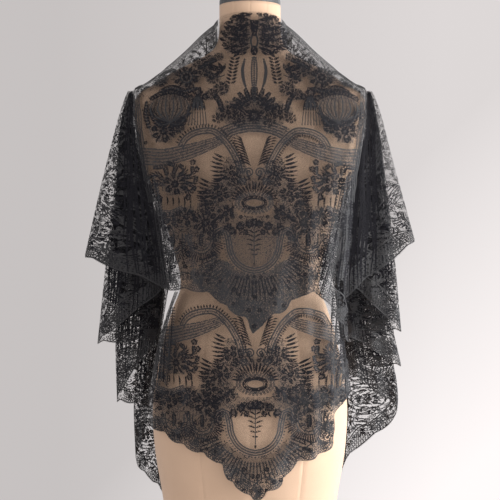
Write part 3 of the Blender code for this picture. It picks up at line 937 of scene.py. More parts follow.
def staggered(region, step, seed, shake):
    """Places in staggered rows over a region, a little uneven."""
    region = np.asarray(region, float)
    random = np.random.default_rng(seed)
    low, high = region.min(axis=0), region.max(axis=0)
    xs = np.arange(low[0], high[0] + step, step)
    zs = np.arange(low[1], high[1] + step, step * 0.87)
    x, z = np.meshgrid(xs, zs)
    x = x + (np.arange(len(zs)) % 2)[:, None] * step / 2
    places = np.stack([x.ravel(), z.ravel()], axis=1)
    places += random.uniform(-shake, shake, places.shape) * step
    return places[inside(region, places)]


def pebbles(work, region, seed):
    """Close field of small rings."""
    work.rings(staggered(region, 0.0046, seed, 0.12), 0.0023, 0.0011)


def specks(work, region, step, radius, seed):
    """Close field of small dots."""
    work.dots(staggered(region, step, seed, 0.25), radius)


def scatter(work, spot, region, step, size, seed):
    """Small blooms, curled leaves and seeds strewn closely over a region, the same on both sides."""
    random = np.random.default_rng(seed)
    seeds = []
    for place in staggered(region, step, seed, 0.3):
        at = spot.at(place)
        kind, turn, scale = random.random(), random.random() * 2 * np.pi, random.uniform(0.75, 1.2)
        if kind < 0.26:
            work.flower(at, size * 0.50 * scale, 5, spot.turn(turn))
        elif kind < 0.72:
            bend = random.uniform(0.9, 1.9)
            for spin, reach in ((0.0, 0.95), (2.2, 0.8), (4.3, 0.65)):
                work.leaf(at, spot.turn(turn + spin), size * reach * scale, size * 0.20, spot.side * bend)
        elif kind < 0.86:
            away = direction(turn) * size * 0.5
            path = resampled((at - away, at + away[::-1] * 0.4, at + away), 7)
            work.band(path, size * 0.07, CORD)
            seeds.append(at + away[::-1])
        else:
            seeds += [at, at + (size * 0.3, 0.0), at + (0.0, size * 0.3), at - (size * 0.25, size * 0.2)]
    if seeds:
        work.dots(np.array(seeds), size * 0.11)


def shade(work, at, across, up, rows):
    """Half-stitch ground in the form of an ellipse."""
    for i in range(rows):
        share = (i + 0.5) / rows * 2 - 1
        reach = across * math.sqrt(max(1 - share**2, 0.02))
        z = at[1] + up * share
        path = [(at[0] + reach * place, z) for place in (-1, -1 / 3, 1 / 3, 1)]
        work.band(path, up / rows * 1.02, HALF, UNDER)


def shaded_bouquet(work, centre, radius, seed, wide, high, rows=5):
    """A bouquet on half stitch, whose width and height are given as shares of its radius."""
    shade(work, centre, radius * wide, radius * high, rows)
    work.bouquet(centre, radius, seed)


def ground(work, spot, region):
    """Half-stitch ground over a region."""
    region = np.asarray(region, float)
    low, high = region.min(axis=0), region.max(axis=0)
    xs = np.arange(low[0], high[0] + 0.002, 0.002)
    for z in np.arange(low[1] + GROUND_STEP / 2, high[1], GROUND_STEP):
        within = inside(region, np.stack([xs, np.full(len(xs), z)], axis=1))
        ends = np.flatnonzero(np.diff(np.concatenate([[0], within.astype(int), [0]])))
        for start, end in ends.reshape(-1, 2):
            if end - start > 2:
                across = np.linspace(xs[start], xs[end - 1], max(3, (end - start) // 4))
                path = spot.at(np.stack([across, np.full(len(across), z)], axis=1))
                work.band(path, GROUND_STEP * 0.52, HALF, UNDER)


def fine_fill(work, region, step, seed, line):
    """Close even ground of small nested arcs, sprigs and seeds."""
    random = np.random.default_rng(seed)
    turn = np.linspace(0.1, np.pi - 0.1, 6)
    arc = np.stack([np.cos(turn), np.sin(turn)], axis=1)
    seeds = []
    for at in staggered(region, step, seed, 0.22):
        spin, kind = random.random() * 2 * np.pi, random.random()
        c, s = math.cos(spin), math.sin(spin)
        turned = arc @ np.array(((c, s), (-s, c)))
        if kind < 0.50:
            for reach in (0.16, 0.34, 0.52):
                work.band(at + (turned - (0.0, 0.3)) * step * reach, line, CORD)
        elif kind < 0.80:
            for i in range(5):
                work.leaf(at, spin + i * 1.26, step * 0.50, line * 3.0)
        else:
            seeds += [at + point * step * 0.34 for point in turned] + [at - turned[2] * step * 0.3]
    if seeds:
        work.dots(np.array(seeds), line * 1.8)


def cane_and_ribbon(work, spot):
    ribbon = spot.at(RIBBON)
    work.band(
        resampled(ribbon, 30), np.interp(np.linspace(0, 1, 30), np.linspace(0, 1, 6), RIBBON_WIDTH) / 2,
        HALF, UNDER,
    )
    work.ribbon(ribbon, RIBBON_WIDTH, 6, 0.00125, 36)
    cane = spot.at(CANE)
    line = resampled(cane, 36)
    across = side_of(line)
    work.band(line, 0.0044, HALF)
    work.scroll(cane, 0.0044, 0.0012, 36)
    work.band(line, 0.0006, CORD, OVER)
    for i in range(1, 35):
        bead = 0.0060 + 0.0008 * (i % 2)
        work.leaf(line[i] + across[i] * 0.0054, math.atan2(across[i][1], across[i][0]), bead, 0.0030)
    for i in range(10):
        foot = spot.at((0.0200 - 0.0017 * i, 0.1060 - 0.0048 * i))
        work.leaf(foot, spot.turn(0.95 - 0.03 * i), 0.0150 + 0.0008 * i, 0.0030, -0.9 * spot.side)
        work.leaf(foot + (spot.side * 0.0100, 0.0030), spot.turn(0.45), 0.0100, 0.0024, -1.0 * spot.side)


def frond(work, path, pairs, length, width):
    """A bending stem with many thin curved leaves."""
    stem = resampled(path, pairs + 3)
    work.band(stem, 0.0007, CORD, OVER)
    along = unit(np.gradient(stem, axis=0))
    turn = np.arctan2(along[:, 1], along[:, 0])
    for i in range(1, pairs + 2):
        share = math.sin(np.pi * (0.25 + 0.65 * i / (pairs + 2)))
        for way in (-1, 1):
            work.leaf(stem[i], turn[i] + way * FROND_ANGLE, length * share, width, -way * 0.9)


def side_bouquet(work, spot, seed):
    centre = spot.at((0.1340, 0.0330))
    shade(work, centre, 0.0240, 0.0190, 5)
    work.bouquet(centre, 0.0230, seed)
    ways = (
        (2.75, 0.040), (2.25, 0.046), (1.75, 0.040), (1.25, 0.046), (0.75, 0.050), (0.25, 0.050),
        (-0.25, 0.046), (3.3, 0.036),
    )
    for angle, reach in ways:
        turn = spot.turn(angle)
        end = centre + reach * np.array((math.cos(turn), math.sin(turn) * 0.85))
        bow = 0.010 * np.array((-math.sin(turn), math.cos(turn))) * spot.side
        foot = centre + (end - centre) * 0.36
        frond(work, (foot, (foot + end) / 2 + bow, end), 7, 0.0105, 0.0026)
    for i in range(6):
        foot = centre + (spot.side * (-0.024 + 0.0095 * i), -0.020)
        work.leaf(foot, -np.pi / 2 - spot.side * 0.25, 0.024 - 0.002 * i, 0.0028, 0.5 * spot.side)
    for place in ((0.098, 0.058), (0.104, 0.070), (0.160, 0.010), (0.172, 0.022), (0.112, 0.010)):
        work.flower(spot.at(place), 0.0060, 5, place[0] * 40)


def leaf_comb(work, spot, place, count, length, drop):
    for i in range(count):
        foot = spot.at((place[0], place[1] - i * drop))
        reach = length * (0.75 + 0.25 * math.sin(np.pi * (i + 0.7) / count))
        work.leaf(foot, spot.turn(0.35 - 0.10 * i), reach, drop * 0.72, 0.35 * spot.side)


def swirl(work, spot, place, radius):
    turn = np.linspace(0, 1.6 * 2 * np.pi, 26)
    reach = radius * (1 - 0.82 * turn / turn[-1])
    centre = spot.at(place)
    path = centre + np.stack([spot.side * np.cos(turn) * reach, np.sin(turn) * reach], axis=1)
    work.band(path, 0.0011, CORD, OVER)


def cartouche(work, spot, seed):
    leaf_comb(work, spot, (0.0500, 0.0760), 7, 0.0260, 0.0056)
    leaf_comb(work, spot, (0.0720, 0.0330), 7, 0.0280, 0.0056)
    swirl(work, spot, (0.0090, 0.0520), 0.0085)
    swirl(work, spot, (0.0200, 0.0360), 0.0065)
    for place, radius in (
        ((0.0370, 0.0500), 0.0190), ((0.0600, 0.0160), 0.0200), ((0.0480, -0.0180), 0.0170),
        ((0.0800, -0.0080), 0.0160),
    ):
        centre = spot.at(place)
        shaded_bouquet(work, centre, radius, seed + int(place[0] * 1000), 1.1, 1.0)
    for angle in np.linspace(0.05, 1.5, 9):
        turn = spot.turn(angle)
        away = np.array((math.cos(turn), math.sin(turn) * 0.6))
        foot = np.array((spot.axis, spot.level + 0.006)) + away * 0.021
        work.leaf(foot, turn, 0.0200, 0.0040)
    for i in range(5):
        foot = spot.at((0.0320 + 0.007 * i, -0.002 - 0.006 * i))
        work.leaf(foot, spot.turn(-0.9 + 0.12 * i), 0.0200, 0.0044, -0.5 * spot.side)
    for i in range(6):
        foot = spot.at((0.0060 + 0.0050 * i, 0.0380 - 0.0016 * i))
        work.leaf(foot, spot.turn(0.9 - 0.16 * i), 0.0150, 0.0032, 0.9 * spot.side)
    for place, reach in (((0.0530, 0.0440), 0.0200), ((0.0760, 0.0230), 0.0210)):
        for i in range(4):
            foot = spot.at((place[0] + 0.001 * i, place[1] - 0.0046 * i))
            work.leaf(foot, spot.turn(-0.45 + 0.05 * i), reach, 0.0032, 1.0 * spot.side)
    ground(work, spot, HEART)
    scatter(work, spot, HEART, 0.0112, 0.0080, seed)


def oval(work, axis, level):
    centre = np.array((axis, level))
    turn = np.linspace(0, 2 * np.pi, 37)
    for across, up, half, kind in (
        (0.0145, 0.0068, 0.0006, CORD), (0.0195, 0.0100, 0.0028, CLOTHWORK), (0.0262, 0.0142, 0.0024, HALF),
    ):
        path = centre + np.stack([np.cos(turn) * across, np.sin(turn) * up], axis=1)
        work.band(path, half, kind)
    for beads, across, up in ((24, 0.0270, 0.0150), (30, 0.0315, 0.0182)):
        at = 2 * np.pi * np.arange(beads) / beads
        work.rings(centre + np.stack([np.cos(at) * across, np.sin(at) * up], axis=1), 0.0021, 0.0008)


def plume(work, axis, level):
    """A sprig that hangs in the clear net of the medallion, under a row of blooms."""
    top, low = level - 0.052, level - 0.101
    work.band(np.stack([np.full(9, axis), np.linspace(top + 0.012, low, 9)], axis=1), 0.0008, CORD, OVER)
    for i in range(6):
        z = top - i * 0.0075
        reach = 0.0150 * math.sin(np.pi * (0.30 + 0.12 * i)) + 0.001
        for side in (-1, 1):
            work.leaf((axis, z), heading(side, 0.75 - 0.05 * i), reach, 0.0030, -0.8 * side)
    for side in (-1, 1):
        for across, up, radius in (
            (0.0085, -0.036, 0.0080), (0.0240, -0.040, 0.0085), (0.0370, -0.048, 0.0075),
            (0.0150, -0.050, 0.0060),
        ):
            work.flower((axis + side * across, level + up), radius, 6, across * 60)
        for i in range(4):
            foot = (axis + side * (0.012 + 0.009 * i), level - 0.044 - 0.002 * i)
            work.leaf(foot, heading(side, -1.25), 0.0110, 0.0030, 0.6 * side)
    work.flower((axis, level - 0.033), 0.0080, 6)
    work.leaf((axis, low), -np.pi / 2, 0.0080, 0.0036)


def medallion(work, spot, rows):
    line = spot.at(rows)
    path = resampled(line, 26)
    out = side_of(path) * spot.side
    work.band(path - out * 0.0042, 0.0048, HALF, UNDER)
    for gap in (0.0, 0.0042, 0.0084):
        work.band(path - out * gap, 0.0011, CORD)
    beads = resampled(line, 24)
    work.dots(beads + side_of(beads) * spot.side * 0.0036, 0.0014)


def flounce(work, spot, seed):
    """Clusters, small medallions and rays beside the plume, down to the hem."""
    clusters = (
        (0.0830, -0.0330, 0.0250), (0.1150, -0.0230, 0.0200), (0.1480, -0.0300, 0.0200),
        (0.0680, -0.0560, 0.0140), (0.1760, -0.0260, 0.0160),
    )
    for across, up, radius in clusters:
        centre = spot.at((across, up))
        shaded_bouquet(work, centre, radius, seed + int(across * 1000), 1.1, 0.9)
    for place in (0.0900, 0.1370):
        centre = spot.at((place, -0.0600))
        small = [(math.sin(a) * 0.0195, -0.0240 * math.cos(a)) for a in np.linspace(-1.9, 1.9, 11)]
        path = centre + np.array(small)
        work.band(resampled(path, 26), 0.0026, HALF, UNDER)
        work.scroll(path, 0.0026, 0.0009, 26)
        frond(work, (centre + (0.0, 0.012), centre, centre - (0.0, 0.014)), 4, 0.0085, 0.0030)
        work.rays(centre, 0.0265, 0.0420, -2.9, -0.25, 26, 0.0010)
    swag = spot.at(SWAG)
    work.band(resampled(swag, 16), 0.0050, HALF, UNDER)
    work.ribbon(swag, (0.0080, 0.0096, 0.0080), 4, 0.0010, 18)
    ground(work, spot, FLOUNCE)
    scatter(work, spot, FLOUNCE, 0.0116, 0.0080, seed)


def centre_rays(work, axis, level):
    """Beaded chains that fan out under the medallion."""
    centre = np.array((axis, level - 0.066))
    for i in range(34):
        turn = -2.80 + (2.46 * i) / 33
        away = direction(turn)
        reach = 0.094 + 0.008 * (i % 2)
        work.band(centre + away * np.linspace(0.0660, reach, 4)[:, None], 0.0009)
        at = np.arange(0.068, reach, 0.0048)[:, None]
        work.dots(centre + away * at, 0.0016)


def tier(work, axis, level, seed, filled):
    """One repeat of the pattern from its ribbons down to its fan."""
    for side in (-1, 1):
        spot = Spot(axis, level, side)
        if filled:
            ground(
                work, spot,
                ((0.0, -0.050), (0.044, -0.052), (0.038, -0.084), (0.022, -0.104), (0.0, -0.110)),
            )
        cane_and_ribbon(work, spot)
        side_bouquet(work, spot, seed)
        cartouche(work, spot, seed + 10)
        medallion(work, spot, MEDALLION)
        flounce(work, spot, seed + 20)
        ground(work, spot, TIP)
        scatter(work, spot, TIP, 0.0110, 0.0076, seed + 30)
    oval(work, axis, level)
    plume(work, axis, level)
    centre_rays(work, axis, level)


def fold_lines(work, side, inner, outer, many, spread):
    """Thin lines of gathered cloth below the fold between neck and shoulder."""
    across = np.linspace(inner, outer, 30)
    top = fold_top(across)
    middle = np.sin(np.pi * np.clip((across - inner) / (outer - inner), 0, 1))
    for i in range(many):
        share = (i / (many - 1)) ** 1.5
        wave = 0.0008 * np.sin(across * 150 + i * 2.1)
        drop = 0.0020 + spread * share * (0.30 + 0.70 * middle) + wave * share
        work.band(np.stack([side * across, top - drop], axis=1), 0.0005 + 0.0004 * (i < 2), CORD, TOP)
    for i in range(3):
        drop = 0.0030 + 0.0050 * i
        work.band(np.stack([side * across, top - drop], axis=1), 0.0024, HALF, UNDER)


def edge_lines(work, edges, side, high, low, insets):
    """Lines down a side edge, where the cloth turns into the falls."""
    z = np.linspace(high, low, 40)
    wide = side_width(edges, float(side), z)
    for i, inset in enumerate(insets):
        path = np.stack([side * (wide - inset - 0.0006 * np.sin(z * 160 + i)), z], axis=1)
        work.band(path, EDGE_THREAD, CORD, TOP)
    middle = wide - (insets[0] + insets[-1]) / 2
    work.band(np.stack([side * middle, z], axis=1), (insets[-1] - insets[0]) / 2, HALF, UNDER)


def streaks(work, top, low, many, spread, seed):
    """A bundle of narrow folds, as long thin lines and beads that run close together."""
    random = np.random.default_rng(seed)
    top, low = np.asarray(top, float), np.asarray(low, float)
    for i in range(many):
        share = i / max(many - 1, 1) - 0.5
        bow = random.uniform(-0.002, 0.002)
        start = top + (share * spread[0], random.uniform(-0.012, 0.012))
        end = low + (share * spread[1], random.uniform(-0.012, 0.012))
        middle = (start + end) / 2 + (bow, 0.0)
        path = resampled((start, middle, end), 16)
        work.band(path, 0.0006 + 0.0006 * random.random(), i % 2, TOP)
        beads = resampled(path, int(np.linalg.norm(end - start) / 0.0046))
        work.dots(beads + (0.0022, 0.0), 0.0013)


def beaded_ear(work, top, length, width):
    """A hanging ear of small rings in three rows, widest in its middle."""
    rows = int(length / 0.0040)
    for i in range(rows):
        t = (i + 0.5) / rows
        half = width / 2 * math.sin(np.pi * (0.12 + 0.84 * t)) ** 0.7
        z = top[1] - length * t
        work.dots([(top[0] + place * half * 0.72, z - 0.0012 * abs(place)) for place in (-1, 0, 1)], 0.0021)


def crown(work, axis):
    """Curling leaves round a stem below the neck, and the hanging ears under them."""
    work.band(((axis, 1.352), (axis, 1.338), (axis, 1.322), (axis, 1.308)), (0.0078, 0.0076, 0.0060, 0.0034))
    work.band(((axis, 1.290), (axis, 1.285), (axis, 1.279), (axis, 1.272)), (0.0020, 0.0060, 0.0066, 0.0030))
    leaves = (  # foot, direction, length, width, bend
        ((0.006, 1.346), 0.30, 0.0260, 0.0072, -1.1), ((0.006, 1.338), 0.05, 0.0380, 0.0078, 1.0),
        ((0.007, 1.329), -0.15, 0.0330, 0.0072, -1.0), ((0.007, 1.320), -0.05, 0.0440, 0.0074, 0.9),
        ((0.006, 1.312), -0.25, 0.0400, 0.0066, 1.0), ((0.007, 1.303), -0.15, 0.0460, 0.0066, 0.7),
        ((0.007, 1.296), -0.50, 0.0330, 0.0062, 0.8), ((0.006, 1.288), -0.45, 0.0360, 0.0066, 0.2),
        ((0.024, 1.340), 0.85, 0.0150, 0.0056, -1.2), ((0.034, 1.332), 0.40, 0.0170, 0.0058, -1.2),
        ((0.040, 1.322), 0.10, 0.0130, 0.0048, 1.3), ((0.044, 1.309), 0.20, 0.0130, 0.0046, 1.3),
        ((0.048, 1.300), 0.20, 0.0130, 0.0044, 1.2), ((0.034, 1.290), -0.60, 0.0200, 0.0060, 0.9),
        ((0.024, 1.283), -1.10, 0.0200, 0.0058, 0.6), ((0.012, 1.280), -0.70, 0.0150, 0.0050, 0.4),
    )
    stack = (0.0330, 1.2640)
    for side in (-1, 1):
        spot = Spot(axis, 0.0, side)
        work.band(spot.at(((0.0030, 1.312), (0.0056, 1.302), (0.0056, 1.294), (0.0030, 1.286))), 0.0016, CORD)
        for place, turn, length, width, bend in leaves:
            work.leaf(spot.at(place), spot.turn(turn), length, width, side * bend)
        region = (
            (0.004, 1.350), (0.030, 1.348), (0.048, 1.325), (0.056, 1.300), (0.046, 1.276), (0.026, 1.272),
            (0.007, 1.284),
        )
        ground(work, spot, region)
        scatter(work, spot, region, 0.0100, 0.0070, 7)
        for place, radius in (
            ((0.0210, 1.3350), 0.0130), ((0.0370, 1.3180), 0.0120), ((0.0190, 1.3020), 0.0110),
            ((0.0380, 1.2930), 0.0110),
        ):
            work.bouquet(spot.at(place), radius, int(place[0] * 5000))
        for place in (
            (0.018, 1.347), (0.036, 1.340), (0.016, 1.316), (0.030, 1.306), (0.050, 1.292), (0.022, 1.296),
            (0.036, 1.280), (0.052, 1.316),
        ):
            work.flower(spot.at(place), 0.0048, 5, place[0] * 90)
        rows = ((0.0165, 1.2640), (0.0200, 1.2450), (0.0180, 1.2260), (0.0140, 1.2120))
        ear = resampled(spot.at(rows), 14)
        work.dots(ear, 0.0034 * np.sin(np.pi * np.linspace(0.14, 0.86, 14)) ** 0.6)
        for i in range(8):
            z = stack[1] - 0.0062 * i
            for way in (-1, 1):
                foot = (axis + side * (stack[0] + 0.0010 * i), z)
                work.leaf(
                    foot, spot.turn(way * 0.35 + (np.pi if way < 0 else 0.0)), 0.0105, 0.0042,
                    way * side * 0.5,
                )
        bud = spot.at((0.0520, 1.2440))
        for turn, length, width in (
            (0.25, 0.0330, 0.0110), (0.95, 0.0180, 0.0060), (-0.55, 0.0200, 0.0060), (1.7, 0.0140, 0.0050),
        ):
            work.leaf(bud, spot.turn(turn), length, width, side * 0.3)
        arch = spot.at(((0.0500, 1.2360), (0.0600, 1.2320), (0.0740, 1.2370), (0.0860, 1.2460)))
        work.band(resampled(arch, 10), 0.0009, CORD)
        for place, radius in (
            ((0.0560, 1.2120), 0.0150), ((0.0720, 1.2020), 0.0120), ((0.0760, 1.2640), 0.0120),
            ((0.0950, 1.2600), 0.0130), ((0.0600, 1.2700), 0.0090),
        ):
            centre = spot.at(place)
            shaded_bouquet(work, centre, radius, int(place[0] * 5000), 1.0, 0.85, 4)
    beaded_ear(work, (axis, 1.270), 0.062, 0.0125)


def tulip(work, centre, side, width, height):
    """A ribbed cup of long petals with a frill on top and curled sepals below."""
    centre = np.asarray(centre, float)
    foot = centre - (0.0, height * 0.5)
    shade(work, centre, width * 0.50, height * 0.44, 9)
    for i in range(13):
        share = i / 6 - 1
        top = centre + (share * width * 0.42, height * (0.44 - 0.16 * share**2))
        middle = centre + (share * width * 0.56, -height * 0.10)
        path = resampled((foot + (share * 0.003, 0.0), middle, top), 9)
        rib = (0.0008 + 0.0006 * (i % 2)) * np.sin(np.pi * np.linspace(0.14, 0.94, 9))
        work.band(path, rib, i % 2)
        work.flower(top + (0.0, 0.003), 0.0050, 5, 0.4 * i)
        beads = resampled(path, 9)[1:-1]
        work.dots(beads + (0.0026, 0.0), 0.0007)
    for turn in (-1, 1):
        curl = ((0.0, 0.0), (turn * 0.014, -0.004), (turn * 0.027, 0.008), (turn * 0.034, 0.028))
        path = foot + np.array(curl)
        frond(work, path, 8, 0.0095, 0.0032)
        work.leaf(foot, -np.pi / 2 + turn * 0.9, 0.020, 0.0050, turn * 0.9)
        work.leaf(foot, -np.pi / 2 + turn * 1.6, 0.026, 0.0050, turn * 0.7)


def bell(work, top, side):
    """A hanging bell with a beaded fringe."""
    top = np.asarray(top, float)
    for i in range(7):
        share = i / 3 - 1
        path = top + np.array(((0, 0), (share * 0.009, -0.014), (share * 0.0125, -0.028)))
        work.band(resampled(path, 6), (0.0010, 0.0018, 0.0020, 0.0020, 0.0018, 0.0012), i % 2)
        hanging = ((share * 0.0125, -0.030), (share * 0.0140, -0.042), (share * 0.0150, -0.052))
        fringe = top + np.array(hanging)
        work.band(resampled(fringe, 5), 0.0007, CORD)
        work.dots(fringe[-1], 0.0014)
    work.flower(top + (0.0, 0.004), 0.0095, 6)
    work.flower(top + (side * 0.012, -0.006), 0.0070, 5)
    work.flower(top - (side * 0.012, 0.004), 0.0070, 5)


# Bouquets of the top field: place, radius, seed
TOP_CLUSTERS = (
    ((0.1160, 1.2330), 0.0250, 31), ((0.1540, 1.1400), 0.0240, 37), ((0.1620, 1.2280), 0.0150, 33),
    ((0.0840, 1.2450), 0.0150, 35), ((0.1300, 1.1460), 0.0140, 39), ((0.0700, 1.2300), 0.0130, 43),
)
# Its fronds: path, pairs of leaves, their length and width
TOP_FRONDS = (
    (((0.0960, 1.214), (0.118, 1.208), (0.140, 1.214), (0.164, 1.208)), 12, 0.0110, 0.0036),
    (((0.1760, 1.140), (0.184, 1.166), (0.184, 1.196)), 8, 0.0105, 0.0034),
    (((0.0700, 1.206), (0.060, 1.190), (0.054, 1.170)), 7, 0.0100, 0.0036),
    (((0.1300, 1.245), (0.146, 1.248), (0.166, 1.240)), 7, 0.0100, 0.0036),
)
TOP_REGION = (
    (0.100, 1.262), (0.200, 1.225), (0.200, 1.120), (0.130, 1.126), (0.100, 1.150), (0.080, 1.190),
    (0.056, 1.235), (0.070, 1.270),
)


def top_field(work, axis):
    """Tulips, bells and sprays between the crown and the ribbons."""
    for side in (-1, 1):
        spot = Spot(axis, 0.0, side)
        tulip(work, spot.at((0.1440, 1.181)), side, 0.072, 0.054)
        for place, radius, seed in TOP_CLUSTERS:
            shaded_bouquet(work, spot.at(place), radius, seed, 1.0, 0.8)
        work.ring(spot.at(TOP_CLUSTERS[0][0]), 0.0120, 0.0095, 14)
        work.ring(spot.at(TOP_CLUSTERS[0][0]), 0.0070, 0.0050, 10)
        frond(work, spot.at(((0.0960, 1.246), (0.080, 1.258), (0.062, 1.264))), 7, 0.0100, 0.0034)
        bell(work, spot.at((0.0960, 1.2020)), side)
        work.flower(spot.at((0.1210, 1.1570)), 0.0085, 6)
        for path, pairs, length, width in TOP_FRONDS:
            frond(work, spot.at(path), pairs, length, width)
        scatter(work, spot, TOP_REGION, 0.0210, 0.0080, 53)


def fan_bouquet(work, axis, level):
    """Blooms over striped arcs, above the canes."""
    centre = np.array((axis, level))
    shade(work, centre + (0.0, 0.006), 0.066, 0.026, 9)
    work.flower(centre, 0.0140, 14)
    work.ring(centre, 0.0080, 0.0060, 12)
    for side in (-1, 1):
        blooms = (
            (0.022, 0.012, 0.0170), (0.044, 0.006, 0.0160), (0.026, -0.008, 0.0140), (0.062, -0.004, 0.0120),
            (0.012, 0.026, 0.0110),
        )
        for across, up, radius in blooms:
            work.bouquet(centre + (side * across, up), radius, 41 + int(across * 1000))
        for i in range(5):
            turn = heading(side, 1.50 - 0.30 * i)
            away = direction(turn)
            foot = centre + (0.0, 0.006) + 0.016 * away
            frond(work, (foot, foot + away * 0.014, foot + away * 0.028), 4, 0.0090, 0.0034)
    turn = np.linspace(0.90, np.pi - 0.90, 34)

    def arc(radius):
        return np.stack([axis + np.cos(turn) * radius, level - 0.078 + np.sin(turn) * radius * 0.72], axis=1)

    work.band(arc(0.0845), 0.0100, HALF, UNDER)
    for i in range(5):
        work.band(arc(0.072 + 0.0062 * i), 0.0013, STRIPE)


def border(work, hem, rows):
    """Edge of small rings inside a corded hem, given as points along it with the cloth on the left."""
    hem = resampled(hem, max(60, int(np.linalg.norm(np.diff(hem, axis=0), axis=1).sum() / HEM_STEP)))
    inward = side_of(hem)
    work.band(hem + inward * 0.0020, 0.0008, CORD, OVER)
    lengths = run_along(hem)
    for row in range(rows):
        at = np.arange(RING_STEP * (0.5 + 0.5 * (row % 2)), lengths[-1], RING_STEP)
        inset = RING_INSET + row * RING_ROW
        x = np.interp(at, lengths, hem[:, 0] + inward[:, 0] * inset)
        z = np.interp(at, lengths, hem[:, 1] + inward[:, 1] * inset)
        work.rings(np.stack([x, z], axis=1), 0.0023, 0.0012)
    work.band(hem + inward * (RING_INSET + rows * RING_ROW), 0.0009, CORD)


# Heights in the design of the falls and fronts, above their hem
SMALL_MEDALLIONS = 0.048
SMALL_RINGS = 0.066
RIBBONS = (0.094, 0.190, 0.286)
FILL_FROM = 0.018
# Its widths and distances
MEDALLION_REPEAT = 0.040
GATHER_STEP = 0.0034  # between the narrow folds
VALLEY_SHARE = 0.24  # folds nearer to a side than this share of the width reach down to the hem
WIDE_FILL = 0.0100  # a fill wider than this has the thin line, any other the full one
THIN_LINE = 0.00042
FULL_LINE = 0.00055
SIDE_INSET = 0.0022  # cord beside each side edge


def hanging_design(work, width, hem_at, top_at, seed, gathered, step):
    """Border, small medallions, ribbons and an even close fill. The gathered parts hang in narrow folds."""
    t = np.linspace(0, 1, 120)
    border(work, np.stack([t * width, hem_at(t)], axis=1), 4)
    random = np.random.default_rng(seed)
    repeats = max(3, round(width / MEDALLION_REPEAT))
    repeat = width / repeats

    def level(a):
        return float(hem_at(np.array(np.clip(a / width, 0, 1))))

    for i in range(repeats + 1):
        a = repeat * i
        low = level(a)
        turn = np.linspace(-1.9, 1.9, 13)
        path = np.stack(
            [a + np.sin(turn) * repeat * 0.36, low + SMALL_MEDALLIONS - 0.0170 * np.cos(turn)], axis=1,
        )
        work.scroll(path, 0.0018, 0.0007, 20)
        work.rays((a, low + SMALL_MEDALLIONS), 0.0205, 0.0300, -2.9, -0.25, 18, 0.0006)
        work.ring((a, low + SMALL_RINGS), 0.0090, 0.0076, 12, CORD, 0.6)
        work.ring((a, low + SMALL_RINGS), 0.0052, 0.0038, 8, CORD, 0.6)
    for base in RIBBONS:
        along = np.linspace(0, width, 14)
        stripe = [(a, level(a) + base + 0.006 * math.sin(a / width * 2 * np.pi * repeats)) for a in along]
        work.ribbon(stripe, (0.010, 0.012, 0.010), 4, 0.0006, 36)
    edge = np.linspace(0, 1, 24)
    low_edge = np.stack([edge * width, hem_at(edge) + FILL_FROM], axis=1)
    high_edge = np.stack([edge * width, top_at(edge)], axis=1)[::-1]
    line = THIN_LINE if step > WIDE_FILL else FULL_LINE
    fine_fill(work, np.concatenate([low_edge, high_edge]), step, seed, line)
    for first, last in gathered:
        for place in np.arange(first, last, GATHER_STEP / width):
            valley = min(place, 1 - place) < VALLEY_SHARE
            low = float(hem_at(np.array(place))) + (0.004 if valley else random.uniform(0.030, 0.090))
            z = np.linspace(low, float(top_at(np.array(place))) - 0.001, 26)
            sway = 0.0010 * np.sin(z * random.uniform(20, 45) + random.random() * 6)
            half = random.uniform(0.0009, 0.0018) * np.clip(np.linspace(0.2, 3.0, 26), 0, 1)
            work.band(np.stack([place * width + sway, z], axis=1), half, CLOTHWORK, TOP)
    for place in (SIDE_INSET, width - SIDE_INSET):
        z = np.linspace(level(place) + 0.004, float(top_at(np.array(place / width))), 60)
        work.band(np.stack([np.full(60, place), z], axis=1), 0.0012, CORD, TOP)


# Dress form
# Each seam: its distance from the middle as a share of the half width, and its side of the form
SEAM_SHARES = (
    (0.00, -1), (0.54, -1), (1.00, 0), (0.56, 1), (0.00, 1), (-0.56, 1), (-1.00, 0), (-0.50, -1),
)
SEAM_HALF = 0.0012  # half the width of a sewn groove
SEAM_DEPTH = 0.0006
FORM_COLUMNS = 13  # columns between two seams
FORM_ROWS = 150


def seam_angle(share, where, power):
    """Turn round the form at which a seam lies, in the ring's own measure."""
    angle = math.acos(math.copysign(abs(share) ** (power / 2), share))
    return -angle if where < 0 else angle


